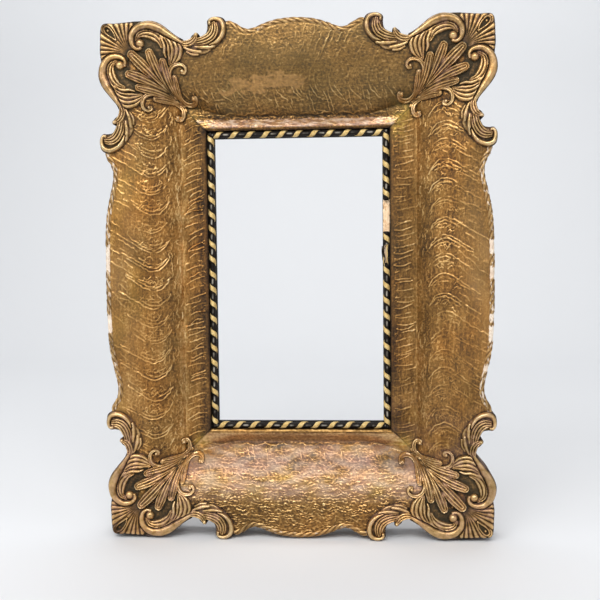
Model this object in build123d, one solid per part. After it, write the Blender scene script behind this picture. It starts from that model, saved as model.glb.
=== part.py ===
from build123d import *
import math
import os

# Swept, gilded picture frame. Millimetres.
# Modelled lying on its back: x right, y up the frame, z = d, the height above the back plane.
# At the end everything is stood up: +Z up, the front faces -Y, origin under the middle of the foot.

# ---------------------------------------------------------------- driving dimensions
HALF_W = 198.5          # half width, over the side lobes
HALF_H = 263.0          # half height, over the top and bottom lobes
SIGHT_U = 84.5          # half width at the rails' reference line
SIGHT_V = 145.0         # half height at the rails' reference line
MITRE = SIGHT_V - SIGHT_U

FILLET_IN = 1.6         # sight edge of the fillet, from the reference line
REBATE_S = 6.1          # rebate, from the reference line
REBATE_D = 12.0         # rebate depth from the back
CHANNEL_S = 9.3         # outer edge of the black channel, from the reference line
FILLET_T = 5.0          # thickness of the sight fillet
LIP_W = 2.5             # flat on top of the inner lip
LIP_D = 25.0            # lip height above the back plane
VALLEY_SIDE = 36.0      # valley between inner band and swell, side rails
VALLEY_TOP = 23.5       # the same on the top and bottom rails
VALLEY_D = 17.5
RIM_D = 46.0            # height of the rim
SWELL_POW = 3.0         # how fast the swell flattens
SKIN = 4.0              # thickness of the facing over the wood
SKIN_SIDE = 3.0         # thickness of the facing on the outer edge
SKIN_BACK = 6.0         # the facing stops this far short of the back plane

SHELL_T = 4.6           # relief of the corner shells over the face
LEAF_T = 4.4            # relief of the corner leaves
SCROLL_T = 5.0          # relief of the edge scrolls
ORN_BACK = 4.0          # where ornament that overhangs the edge stops, from the back plane
BEAD_OUT = 2.6          # edge bead proud of the outer edge
BEAD_TOP = 1.4          # edge bead proud of the rim
BEAD_LOW = 38.0

ROPE_R = 3.5
ROPE_S = 5.2            # rope axis from the reference line
ROPE_D = 2.9            # rope axis above the fillet
ROPE_GAP = (50.0, 81.0)  # lost length of rope on the right side, up from the middle

KEY = (46.0, 12.0, 3.0)  # mitre key: across the mitre, along it, depth
KEY_S = 58.0            # key's place along the mitre, from the sight corner
NAIL_R, NAIL_HEAD_R, NAIL_L = 1.0, 1.9, 44.0

BUTTON_U = SIGHT_U + REBATE_S + 9.0
BUTTON_V = (-105.0, 0.0, 105.0)
BUTTON_W, BUTTON_LONG, BUTTON_SHORT, BUTTON_T = 11.0, 20.0, 4.5, 1.6
BUTTON_GAP = 0.1
BUTTON_HOLE_R, BUTTON_SHANK_R = 2.05, 2.0
BUTTON_HEAD_R, BUTTON_HEAD_H = 3.8, 2.0
BUTTON_SCREW_L = 11.6

HANG_U, HANG_V = 118.0, 150.0   # hinge axis of the hanging ring
STRAP_W, STRAP_L, STRAP_T = 16.0, 34.0, 1.2
BARREL_R, BARREL_BORE_R = 2.5, 1.55
RING_WIRE_R, RING_R, RING_NECK, RING_BEND = 1.5, 12.6, 6.0, 4.0
HANG_SCREW_U = (132.0, 150.0)
HANG_SHANK_R, HANG_HEAD_R, HANG_HEAD_H, HANG_SCREW_L = 1.6, 3.2, 1.6, 12.0

D_MAX = RIM_D + SCROLL_T
Y_BACK = (D_MAX - 2 * BARREL_R) / 2     # back plane, once the frame is stood up

# Outer edge of the facing, one quarter, from the middle of the side to the middle of the top.
EDGE = [
    (193, 0), (193, 20), (192.6, 40), (191.8, 58), (190.6, 69), (188.8, 79), (186.6, 89), (184.4, 98),
    (183.1, 106), (183.3, 113), (185.2, 119), (188, 124), (190.2, 128.5), (190.4, 133.5), (187, 140),
    (181.6, 146.4), (178, 153), (176.8, 161), (176.2, 168), (176.9, 174.5), (179.4, 182), (183.6, 190.5),
    (188, 200), (190.2, 210), (191.6, 222), (192.2, 235), (191.8, 247), (189.4, 255.2), (182, 257),
    (170, 257.4), (157, 257.6), (146, 256.4), (135, 252.6), (125, 247.4), (118, 243.2), (111, 240),
    (104, 238.6), (96, 238.2), (89, 239.4), (82.5, 243.4), (76.6, 250), (71, 255.6), (66, 256.8),
    (61.5, 255.4), (57, 252.6), (52, 249.8), (46.5, 248.6), (40, 249.8), (31, 253.4), (20, 256.8),
    (9, 258.3), (0, 258.7),
]

# Ornament outlines for the upper right corner.
SHELL = [
    (178.4, 173.5), (181.5, 182), (185.5, 190), (190, 200), (193.2, 210), (195, 221), (196, 233),
    (195.6, 242), (195.4, 252), (194, 258), (190, 260.4), (180, 260), (170, 260), (156, 260.8),
    (144, 260.4), (134, 257), (124, 251), (116, 245), (110.5, 241), (108, 230), (114, 220),
    (121, 214.5), (128, 221), (136, 224), (142, 231), (151, 229.6), (160.5, 231), (166.5, 222),
    (168, 215.5), (162, 203), (159.5, 194), (153, 188), (155, 180), (164, 175.5), (171.5, 173),
]
LEAF = [
    (165, 232), (156, 230.2), (147, 220.4), (145.4, 230.6), (141, 231), (136.2, 221.4),
    (131.8, 218), (128.6, 222.6), (124.8, 216), (121.8, 206.6), (115.6, 212.2), (108, 213),
    (105, 207), (112, 204), (115.6, 192), (111.8, 184.4), (102, 185.2), (99, 180), (104, 175),
    (112, 176), (115.6, 174), (114.8, 164), (120, 163), (122, 171), (132, 177), (140, 179.6),
    (144, 174), (149, 174), (151, 180), (147.4, 187), (138.8, 188.4), (148.2, 190.2), (158.6, 196),
    (157, 201), (150.4, 201.2), (165.6, 207), (168, 211), (162, 213), (152.6, 211.4), (160, 222),
    (165.8, 227),
]
SCROLL_SIDE = [
    (178.2, 173), (181.6, 166.8), (184, 161.4), (181.6, 157), (181.8, 152.4), (184.4, 149.4),
    (190, 149), (194.4, 150.6), (197.4, 148.6), (HALF_W, 145.5), (HALF_W, 138), (197.2, 133.4),
    (194.6, 128.6), (191, 124.8), (187, 122.6), (183, 125), (178, 130.5), (172, 137), (167, 144),
    (164, 154), (162, 162), (165, 170), (170, 172.6),
]
SCROLL_TOP = [
    (110.3, 240.4), (105, 241.4), (102.2, 245.6), (98.6, 246.4), (96.4, 243.2), (91.4, 244.4),
    (87.6, 248.6), (86.4, 254), (86.8, 259), (84, 262), (80.5, HALF_H), (70.5, HALF_H), (66.6, 261.4),
    (63.4, 259), (61, 256), (61.4, 250), (64, 244), (68, 238.4), (74, 233.6), (82, 231), (87, 225.6),
    (93, 224.6), (102, 227.6), (107.6, 230.4),
]


# ---------------------------------------------------------------- helpers
def ring_points(quarter):
    q1 = list(quarter)
    q2 = [(-u, v) for u, v in reversed(quarter[:-1])]
    q3 = [(-u, -v) for u, v in quarter[1:]]
    q4 = [(u, -v) for u, v in reversed(quarter[1:-1])]
    return q1 + q2 + q3 + q4


def shifted(points, amount):
    """Closed run of points moved outwards along its own normal."""
    out = []
    n = len(points)
    for i in range(n):
        (x0, y0), (x1, y1) = points[i - 1], points[(i + 1) % n]
        tx, ty = x1 - x0, y1 - y0
        length = math.hypot(tx, ty)
        out.append((points[i][0] + amount * ty / length, points[i][1] - amount * tx / length))
    return out


def prism(face, low, high):
    return Pos(0, 0, low) * extrude(face, amount=high - low)


def outline_prism(points, low, high):
    return prism(make_face(Spline(*points, periodic=True)), low, high)


def poly_prism(points, low, high):
    return prism(make_face(Polyline(*points, close=True)), low, high)


def box(x0, x1, y0, y1, z0, z1):
    return Pos((x0 + x1) / 2, (y0 + y1) / 2, (z0 + z1) / 2) * Box(x1 - x0, y1 - y0, z1 - z0)


def swell(start, rim, drop):
    pts = []
    for t in (0, 0.06, 0.13, 0.21, 0.3, 0.4, 0.52, 0.66, 0.82, 1.0):
        h = VALLEY_D + (RIM_D - VALLEY_D) * (1 - (1 - t) ** SWELL_POW) + drop
        pts.append((start + t * (rim - start), h))
    return pts


def rail_profile(sight, valley, rim, drop=0.0, core=False):
    """Section of a rail in (distance from the frame's middle, height)."""
    far = rim + 30.0
    sw = swell(sight + valley, rim, drop)
    lip0 = sight + CHANNEL_S + (2.2 if core else 0.0)
    lip1 = sight + CHANNEL_S + LIP_W + (0.9 if core else 0.0)
    run = [
        (sight + REBATE_S, 0), (sight + REBATE_S, REBATE_D), (lip0, REBATE_D),
        (lip0, LIP_D + drop), (lip1, LIP_D + drop),
    ]
    if core:
        # the wood falls to its flat soon enough to stay under the narrower valley of the top and bottom facings
        run.append((sight + VALLEY_TOP - 1.0, VALLEY_D + drop))
    run.append(sw[0])
    low = [sw[-1], (far, sw[-1][1]), (far, 0), run[0]]
    lines = Polyline(*run) + Spline(*sw) + Polyline(*low)
    return make_face(lines)


def on_side(face):
    """Section stood on the right-hand rail and run along y."""
    return extrude(Plane.XZ * face, amount=320, both=True)


def on_top(face):
    """Section stood on the top rail and run along x."""
    return extrude(Plane(origin=(0, 0, 0), x_dir=(0, 1, 0), z_dir=(1, 0, 0)) * face, amount=320, both=True)


WEDGE_R = poly_prism([(-MITRE + 100, 100), (300, 300 + MITRE), (300, -300 - MITRE), (-MITRE + 100, -100)], -20, 80)
WEDGE_T = poly_prism([(100, 100 + MITRE), (300, 300 + MITRE), (-300, 300 + MITRE), (-100, 100 + MITRE)], -20, 80)
WEDGE_T = WEDGE_T + poly_prism([(0, MITRE), (101, 101 + MITRE), (-101, 101 + MITRE)], -20, 80)


def flip_x(s):
    return mirror(s, about=Plane.YZ)


def flip_y(s):
    return mirror(s, about=Plane.XZ)


# ---------------------------------------------------------------- wood and facing
edge_pts = ring_points(EDGE)
edge_full = outline_prism(edge_pts, 0, 60)
edge_skin = outline_prism(edge_pts, SKIN_BACK, 60)
edge_core = outline_prism(shifted(edge_pts, -SKIN_SIDE), 0, 60)

RIM_SIDE, RIM_TOP = EDGE[0][0], EDGE[-1][1]
prof_r = on_side(rail_profile(SIGHT_U, VALLEY_SIDE, RIM_SIDE)) & WEDGE_R
prof_t = on_top(rail_profile(SIGHT_V, VALLEY_TOP, RIM_TOP)) & WEDGE_T
core_prof_r = on_side(rail_profile(SIGHT_U, VALLEY_SIDE, RIM_SIDE, -SKIN, True)) & WEDGE_R
# the wood under the top and bottom facings has the side rails' section, so the facing is thicker in the middle
core_prof_t = on_top(rail_profile(SIGHT_V, VALLEY_SIDE, RIM_TOP, -SKIN, True)) & WEDGE_T

core_r = core_prof_r & edge_core
core_t = core_prof_t & edge_core
full_r = (prof_r & edge_skin) + core_r
full_t = (prof_t & edge_skin) + core_t
skin_r = (prof_r & edge_skin) - core_r
skin_t = (prof_t & edge_skin) - core_t

# ---------------------------------------------------------------- corner and edge ornament
def layer(thick):
    """What lies within `thick` above the face, and all that lies outside the edge, near one corner."""
    up = Pos(0, 0, thick)
    r = (up * prof_r) & box(80, 230, 100, 300, ORN_BACK, 70)
    t = (up * prof_t) & box(40, 260, 140, 300, ORN_BACK, 70)
    return r - full_r, t - full_t


def ornament(points, thick, halves="rt"):
    r, t = layer(thick)
    cutter = poly_prism(points, -5, 75)
    out = None
    for key, piece in (("r", r), ("t", t)):
        if key not in halves:
            continue
        got = piece & cutter
        out = got if out is None else out + got
    return out


def biggest(shape):
    return max(shape.solids(), key=lambda s: s.volume)


shell = biggest(ornament(SHELL, SHELL_T))
leaf = biggest(ornament(LEAF, LEAF_T) - shell)
scroll_side = biggest(ornament(SCROLL_SIDE, SCROLL_T, "r") - shell)
scroll_top = biggest(ornament(SCROLL_TOP, SCROLL_T, "t") - shell)

# ---------------------------------------------------------------- edge beads, between the lobes
def band(points_a, points_b, low, high):
    run = Spline(*points_a) + Line(points_a[-1], points_b[-1]) + Spline(*reversed(points_b)) + Line(points_b[0], points_a[0])
    return prism(make_face(run), low, high)


outer_pts = shifted(edge_pts, BEAD_OUT)
inner_pts = shifted(edge_pts, -3.6)


def run_between(points, keep):
    n = len(points)
    inside = [keep(*p) for p in points]
    start = next(i for i in range(n) if inside[i] and not inside[i - 1])
    out = []
    i = start
    while inside[i % n]:
        out.append(points[i % n])
        i += 1
    return out


def side_span(x, y):
    return x > 0 and abs(y) < 124


def top_span(x, y):
    return y > 0 and abs(x) < 61.6


bead_r = band(run_between(outer_pts, side_span), run_between(inner_pts, side_span), BEAD_LOW, RIM_D + BEAD_TOP)
bead_t = band(run_between(outer_pts, top_span), run_between(inner_pts, top_span), BEAD_LOW, RIM_D + BEAD_TOP)
bead_r = biggest(bead_r - full_r - scroll_side - flip_y(scroll_side))
bead_t = biggest(bead_t - full_t - scroll_top - flip_x(scroll_top))

# ---------------------------------------------------------------- sight fillets and rope
FILLET_TOP = REBATE_D + FILLET_T
fillet_r = box(SIGHT_U + FILLET_IN, SIGHT_U + CHANNEL_S, -200, 200, REBATE_D, FILLET_TOP) & WEDGE_R
fillet_t = box(-150, 150, SIGHT_V + FILLET_IN, SIGHT_V + CHANNEL_S, REBATE_D, FILLET_TOP) & WEDGE_T
above = box(-300, 300, -300, 300, FILLET_TOP, 60)
rope_z = FILLET_TOP + ROPE_D
rope_r = Pos(SIGHT_U + ROPE_S, 0, rope_z) * Rot(90, 0, 0) * Cylinder(ROPE_R, 400) & above & WEDGE_R
rope_t = Pos(0, SIGHT_V + ROPE_S, rope_z) * Rot(0, 90, 0) * Cylinder(ROPE_R, 400) & above & WEDGE_T
rope_r_upper = rope_r & box(0, 300, ROPE_GAP[1], 300, 0, 60)
rope_r_lower = rope_r & box(0, 300, -300, ROPE_GAP[0], 0, 60)

# ---------------------------------------------------------------- mitre keys and nails
keys = []
for sx in (1, -1):
    for sy in (1, -1):
        key = Pos(sx * (SIGHT_U + KEY_S), sy * (SIGHT_V + KEY_S), KEY[2] / 2) * Rot(0, 0, -45 * sx * sy) * Box(*KEY)
        keys.append(key)


def nail(tip, direction):
    """Nail with its head outermost; tip is the inner end."""
    shank = Pos(0, 0, NAIL_L / 2) * Cylinder(NAIL_R, NAIL_L)
    head = Pos(0, 0, NAIL_L + 0.7) * Cylinder(NAIL_HEAD_R, 1.4)
    return Plane(origin=tip, z_dir=direction) * (shank + head)


nails = []
for sx in (1, -1):
    for sy in (1, -1):
        nails.append(nail((sx * 140, sy * 222, 14), (sx, 0, 0)))
        nails.append(nail((sx * 150, sy * 196, 24), (0, sy, 0)))

# ---------------------------------------------------------------- turn buttons
def screw(shank_r, head_r, head_h, under, length):
    """Slotted screw along z: head below `under`, shank up into the wood."""
    body = Pos(0, 0, (length + under - 0.4) / 2) * Cylinder(shank_r, length - under + 0.4)
    head = Pos(0, 0, under - head_h / 2) * Cylinder(head_r, head_h)
    head = fillet(head.edges().group_by(Axis.Z)[0], head_h * 0.6)
    slot = box(-head_r, head_r, -0.45, 0.45, under - head_h - 1, under - head_h + 0.8)
    return (body + head) - slot


button_top = -BUTTON_GAP
button_low = button_top - BUTTON_T
plate = box(-BUTTON_W / 2, BUTTON_W / 2, -BUTTON_LONG + BUTTON_W / 2, BUTTON_SHORT, button_low, button_top)
plate = plate + Pos(0, -BUTTON_LONG + BUTTON_W / 2, (button_low + button_top) / 2) * Cylinder(BUTTON_W / 2, BUTTON_T)
plate = plate + Pos(0, BUTTON_SHORT, (button_low + button_top) / 2) * Cylinder(BUTTON_W / 2, BUTTON_T)
plate = plate - Cylinder(BUTTON_HOLE_R, 20)
button_screw = screw(BUTTON_SHANK_R, BUTTON_HEAD_R, BUTTON_HEAD_H, button_low - BUTTON_GAP, BUTTON_SCREW_L)

buttons, button_screws = [], []
for sx in (-1, 1):
    for v in BUTTON_V:
        at = Pos(sx * BUTTON_U, v, 0)
        buttons.append(at * plate)
        button_screws.append(at * button_screw)

# ---------------------------------------------------------------- hangers
hx, hy, hz = HANG_U, HANG_V, -BARREL_R
strap = box(hx, hx + STRAP_L, hy - STRAP_W / 2, hy + STRAP_W / 2, -STRAP_T, 0)
strap = strap + Pos(hx + STRAP_L, hy, -STRAP_T / 2) * Cylinder(STRAP_W / 2, STRAP_T)
strap = strap + Pos(hx, hy, hz) * Rot(90, 0, 0) * Cylinder(BARREL_R, STRAP_W)
strap = strap - Pos(hx, hy, hz) * Rot(90, 0, 0) * Cylinder(BARREL_BORE_R, STRAP_W + 10)
hang_screw = screw(HANG_SHANK_R, HANG_HEAD_R, HANG_HEAD_H, -STRAP_T, HANG_SCREW_L)
hang_screws_r = [Pos(u, hy, 0) * hang_screw for u in HANG_SCREW_U]
for s in hang_screws_r:
    strap = strap - s

bar = STRAP_W / 2 + 0.6
bend_u = hx - RING_BEND
neck_u = bend_u - RING_NECK
path = Wire([
    Line((hx, hy - bar), (hx, hy + bar)),
    CenterArc((bend_u, hy + bar), RING_BEND, 0, 90),
    Line((bend_u, hy + RING_R), (neck_u, hy + RING_R)),
    CenterArc((neck_u, hy), RING_R, 90, 180),
    Line((neck_u, hy - RING_R), (bend_u, hy - RING_R)),
    CenterArc((bend_u, hy - bar), RING_BEND, 270, 90),
])
ring_section = Plane(origin=(hx, hy - bar, 0), z_dir=(0, 1, 0)) * Circle(RING_WIRE_R)
ring = Pos(0, 0, hz) * sweep(ring_section, path=path)

# ---------------------------------------------------------------- holes in the wood
for s in nails:
    x, y, _ = s.center()
    if x > 0:
        core_r = core_r - s
    if y > 0:
        core_t = core_t - s
rails = {"right_rail": core_r, "left_rail": flip_x(core_r), "top_rail": core_t, "bottom_rail": flip_y(core_t)}
for s in keys:
    for name in rails:
        rails[name] = rails[name] - s
for s in button_screws:
    name = "right_rail" if s.center().X > 0 else "left_rail"
    rails[name] = rails[name] - s
for s in hang_screws_r:
    rails["right_rail"] = rails["right_rail"] - s
    rails["left_rail"] = rails["left_rail"] - flip_x(s)
rails = {k: biggest(v) for k, v in rails.items()}

# ---------------------------------------------------------------- stand it up and write it out
stand = Plane(origin=(0, Y_BACK, HALF_H), x_dir=(1, 0, 0), z_dir=(0, -1, 0)).location

nodes = dict(rails)
nodes["right_face"] = biggest(skin_r)
nodes["left_face"] = flip_x(biggest(skin_r))
nodes["top_face"] = biggest(skin_t)
nodes["bottom_face"] = flip_y(biggest(skin_t))
for tag, put in (
    ("tr", lambda s: s),
    ("tl", flip_x),
    ("br", flip_y),
    ("bl", lambda s: flip_x(flip_y(s))),
):
    nodes["corner_shell_" + tag] = put(shell)
    nodes["corner_leaf_" + tag] = put(leaf)
    nodes["edge_scroll_side_" + tag] = put(scroll_side)
    nodes["edge_scroll_end_" + tag] = put(scroll_top)
nodes["edge_bead_right"] = bead_r
nodes["edge_bead_left"] = flip_x(bead_r)
nodes["edge_bead_top"] = bead_t
nodes["edge_bead_bottom"] = flip_y(bead_t)
nodes["sight_fillet_right"] = fillet_r
nodes["sight_fillet_left"] = flip_x(fillet_r)
nodes["sight_fillet_top"] = fillet_t
nodes["sight_fillet_bottom"] = flip_y(fillet_t)
nodes["rope_top"] = rope_t
nodes["rope_bottom"] = flip_y(rope_t)
nodes["rope_left"] = flip_x(rope_r)
nodes["rope_right_upper"] = rope_r_upper
nodes["rope_right_lower"] = rope_r_lower
nodes["mitre_keys"] = Compound([s for k in keys for s in k.solids()])
nodes["mitre_nails"] = Compound([s for k in nails for s in k.solids()])
for i, b in enumerate(buttons, 1):
    nodes["turn_button_%d" % i] = b
nodes["turn_button_screws"] = Compound([s for k in button_screws for s in k.solids()])
nodes["hanger_strap_right"] = strap
nodes["hanger_strap_left"] = flip_x(strap)
nodes["hanger_ring_right"] = ring
nodes["hanger_ring_left"] = flip_x(ring)
nodes["hanger_screws"] = Compound([s for k in hang_screws_r for s in (k.solids() + flip_x(k).solids())])

os.makedirs("parts", exist_ok=True)
for name, shape in nodes.items():
    solids = shape.solids()
    out = solids[0] if len(solids) == 1 else Compound(list(solids))
    export_step(out.moved(stand), "parts/%s.step" % name)
    print("%-24s %2d solids %10.1f mm3" % (name, len(solids), sum(s.volume for s in solids)))
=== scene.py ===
import math

import bpy
import numpy as np
from mathutils import Matrix, Vector
from mathutils.geometry import delaunay_2d_cdt


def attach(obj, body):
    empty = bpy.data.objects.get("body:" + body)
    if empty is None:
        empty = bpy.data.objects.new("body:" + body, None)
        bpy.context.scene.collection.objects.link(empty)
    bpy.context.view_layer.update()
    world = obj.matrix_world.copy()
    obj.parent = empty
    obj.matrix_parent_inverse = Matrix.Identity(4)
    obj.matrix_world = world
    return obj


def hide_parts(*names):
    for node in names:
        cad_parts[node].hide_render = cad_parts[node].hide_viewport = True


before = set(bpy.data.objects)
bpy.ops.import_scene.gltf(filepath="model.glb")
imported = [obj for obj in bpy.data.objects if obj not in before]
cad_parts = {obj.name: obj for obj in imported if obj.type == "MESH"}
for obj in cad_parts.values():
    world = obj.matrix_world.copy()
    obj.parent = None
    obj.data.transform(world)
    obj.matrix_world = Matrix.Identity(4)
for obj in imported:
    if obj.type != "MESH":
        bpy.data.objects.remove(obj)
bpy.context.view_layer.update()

# Swept gilded frame. Shapes are worked out in millimetres: x right, y up from the frame's middle,
# d = height above the back plane, and then stood up in metres.

# ---------------------------------------------------------------- sizes shared with the solid model
HALF_W, HALF_H = 198.5, 263.0
SIGHT_U, SIGHT_V = 84.5, 145.0
MITRE = SIGHT_V - SIGHT_U
CHANNEL_S, LIP_W, LIP_D = 9.3, 2.5, 25.0
VALLEY_SIDE, VALLEY_TOP, VALLEY_D = 36.0, 23.5, 17.5
RIM_D, SWELL_POW = 46.0, 3.0
FILLET_TOP = 17.0
SKIN, SKIN_BACK = 4.0, 6.0
Y_BACK = 23.0
RIM_SIDE, RIM_TOP = 193.0 - SIGHT_U, 258.7 - SIGHT_V

EDGE = [
    (193, 0), (193, 20), (192.6, 40), (191.8, 58), (190.6, 69), (188.8, 79), (186.6, 89), (184.4, 98),
    (183.1, 106), (183.3, 113), (185.2, 119), (188, 124), (190.2, 128.5), (190.4, 133.5), (187, 140),
    (181.6, 146.4), (178, 153), (176.8, 161), (176.2, 168), (176.9, 174.5), (179.4, 182), (183.6, 190.5),
    (188, 200), (190.2, 210), (191.6, 222), (192.2, 235), (191.8, 247), (189.4, 255.2), (182, 257),
    (170, 257.4), (157, 257.6), (146, 256.4), (135, 252.6), (125, 247.4), (118, 243.2), (111, 240),
    (104, 238.6), (96, 238.2), (89, 239.4), (82.5, 243.4), (76.6, 250), (71, 255.6), (66, 256.8),
    (61.5, 255.4), (57, 252.6), (52, 249.8), (46.5, 248.6), (40, 249.8), (31, 253.4), (20, 256.8),
    (9, 258.3), (0, 258.7),
]


# ---------------------------------------------------------------- small tools
def smooth(a, b, x):
    t = np.clip((x - a) / (b - a), 0.0, 1.0)
    return t * t * (3 - 2 * t)


def noise_maker(seed):
    rng = np.random.default_rng(seed)
    perm = rng.permutation(256)
    perm = np.concatenate([perm, perm, perm])
    ang = rng.random(256) * 2 * np.pi
    gx, gy = np.cos(ang), np.sin(ang)

    def noise(x, y):
        xi, yi = np.floor(x).astype(int), np.floor(y).astype(int)
        xf, yf = x - xi, y - yi
        wx, wy = xf ** 3 * (xf * (xf * 6 - 15) + 10), yf ** 3 * (yf * (yf * 6 - 15) + 10)

        def g(ox, oy):
            h = perm[perm[(xi + ox) & 255] + ((yi + oy) & 255)]
            return gx[h] * (xf - ox) + gy[h] * (yf - oy)

        low = g(0, 0) * (1 - wx) + g(1, 0) * wx
        high = g(0, 1) * (1 - wx) + g(1, 1) * wx
        return 1.45 * (low * (1 - wy) + high * wy)

    return noise


def fbm(noise, x, y, octaves=4, gain=0.5):
    out, amp, f = 0.0, 1.0, 1.0
    for k in range(octaves):
        out = out + amp * noise(x * f + 17.3 * k, y * f - 9.1 * k)
        amp *= gain
        f *= 2.03
    return out


def curve(pts, n=9):
    """Smooth run through the points."""
    p = np.asarray(pts, float)
    if len(p) == 2:
        t = np.linspace(0, 1, n)[:, None]
        return p[0] * (1 - t) + p[1] * t
    e = np.vstack([2 * p[0] - p[1], p, 2 * p[-1] - p[-2]])
    out = []
    for i in range(len(p) - 1):
        p0, p1, p2, p3 = e[i], e[i + 1], e[i + 2], e[i + 3]
        k1 = max(np.linalg.norm(p1 - p0), 1e-6) ** 0.5
        k2 = max(np.linalg.norm(p2 - p1), 1e-6) ** 0.5
        k3 = max(np.linalg.norm(p3 - p2), 1e-6) ** 0.5
        t0, t1, t2, t3 = 0.0, k1, k1 + k2, k1 + k2 + k3
        t = np.linspace(t1, t2, n, endpoint=False)[:, None]
        a1 = (t1 - t) / (t1 - t0) * p0 + (t - t0) / (t1 - t0) * p1
        a2 = (t2 - t) / (t2 - t1) * p1 + (t - t1) / (t2 - t1) * p2
        a3 = (t3 - t) / (t3 - t2) * p2 + (t - t2) / (t3 - t2) * p3
        b1 = (t2 - t) / (t2 - t0) * a1 + (t - t0) / (t2 - t0) * a2
        b2 = (t3 - t) / (t3 - t1) * a2 + (t - t1) / (t3 - t1) * a3
        out.append((t2 - t) / (t2 - t1) * b1 + (t - t1) / (t2 - t1) * b2)
    out.append(p[-1:])
    return np.vstack(out)


def nearest(px, py, q):
    """Distance to the run q, which side of it, and how far along it (0 to 1)."""
    best = np.full(px.shape, 1e12)
    along = np.zeros(px.shape)
    side = np.zeros(px.shape)
    d = np.diff(q, axis=0)
    seg = np.maximum(np.hypot(d[:, 0], d[:, 1]), 1e-9)
    cum = np.concatenate([[0], np.cumsum(seg)])
    for i in range(len(d)):
        ax, ay = q[i]
        dx, dy = d[i]
        rx, ry = px - ax, py - ay
        t = np.clip((rx * dx + ry * dy) / (seg[i] ** 2), 0, 1)
        ex, ey = rx - t * dx, ry - t * dy
        d2 = ex * ex + ey * ey
        m = d2 < best
        best = np.where(m, d2, best)
        along = np.where(m, (cum[i] + t * seg[i]) / cum[-1], along)
        side = np.where(m, np.sign(dx * ry - dy * rx), side)
    return np.sqrt(best), side, along


def blur(a, sigma):
    """Gaussian blur of a grid, edges held."""
    r = max(1, int(3 * sigma + 0.5))
    k = np.exp(-0.5 * (np.arange(-r, r + 1) / sigma) ** 2)
    k /= k.sum()
    for axis in (0, 1):
        pad = [(0, 0), (0, 0)]
        pad[axis] = (r, r)
        b = np.pad(a, pad, mode="edge")
        acc = 0
        for i, w in enumerate(k):
            sl = [slice(None), slice(None)]
            sl[axis] = slice(i, i + a.shape[axis])
            acc = acc + w * b[tuple(sl)]
        a = acc
    return a


def inside_poly(px, py, poly):
    poly = np.asarray(poly, float)
    hit = np.zeros(px.shape, bool)
    n = len(poly)
    for i in range(n):
        x0, y0 = poly[i]
        x1, y1 = poly[(i + 1) % n]
        c = (y0 > py) != (y1 > py)
        if not c.any():
            continue
        xs = (x1 - x0) * (py - y0) / ((y1 - y0) if y1 != y0 else 1e-9) + x0
        hit ^= c & (px < xs)
    return hit


# ---------------------------------------------------------------- outline and face
_q = curve([(193.0, -20)] + EDGE + [(-9, 258.3), (-20, 256.8)], 6)
_quarter_poly = np.vstack([_q, [(-20, 0)], [(-20, -20)]])


def outline_in(x, y):
    """Distance inside the facing's outer edge, in mm, negative outside."""
    u, v = np.abs(x), np.abs(y)
    d, _, _ = nearest(u, v, _q)
    return np.where(inside_poly(u, v, _quarter_poly), d, -d)


def profile(s, valley, rim):
    t = np.clip((s - valley) / (rim - valley), 0, 1)
    sw = VALLEY_D + (RIM_D - VALLEY_D) * (1 - (1 - t) ** SWELL_POW)
    lip = CHANNEL_S + LIP_W
    k = np.clip((s - lip) / (valley - lip), 0, 1)
    band = LIP_D + (VALLEY_D - LIP_D) * (0.35 * k + 0.65 * k * k * (3 - 2 * k))
    band = np.where(s < lip, LIP_D, band)
    return np.where(s > valley, sw, band)


def face_height(x, y):
    """Height of the plain face over the whole frame."""
    u, v = np.abs(x), np.abs(y)
    ss, st = u - SIGHT_U, v - SIGHT_V
    off = (st - ss) / math.sqrt(2)
    w = 1 - smooth(0, 30, off)
    h_side = profile(ss, VALLEY_SIDE, RIM_SIDE)
    h_top = profile(st, VALLEY_TOP + (VALLEY_SIDE - VALLEY_TOP) * w, RIM_TOP + (RIM_SIDE - RIM_TOP) * w)
    return np.where(off > 0, h_top, h_side)


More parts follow.
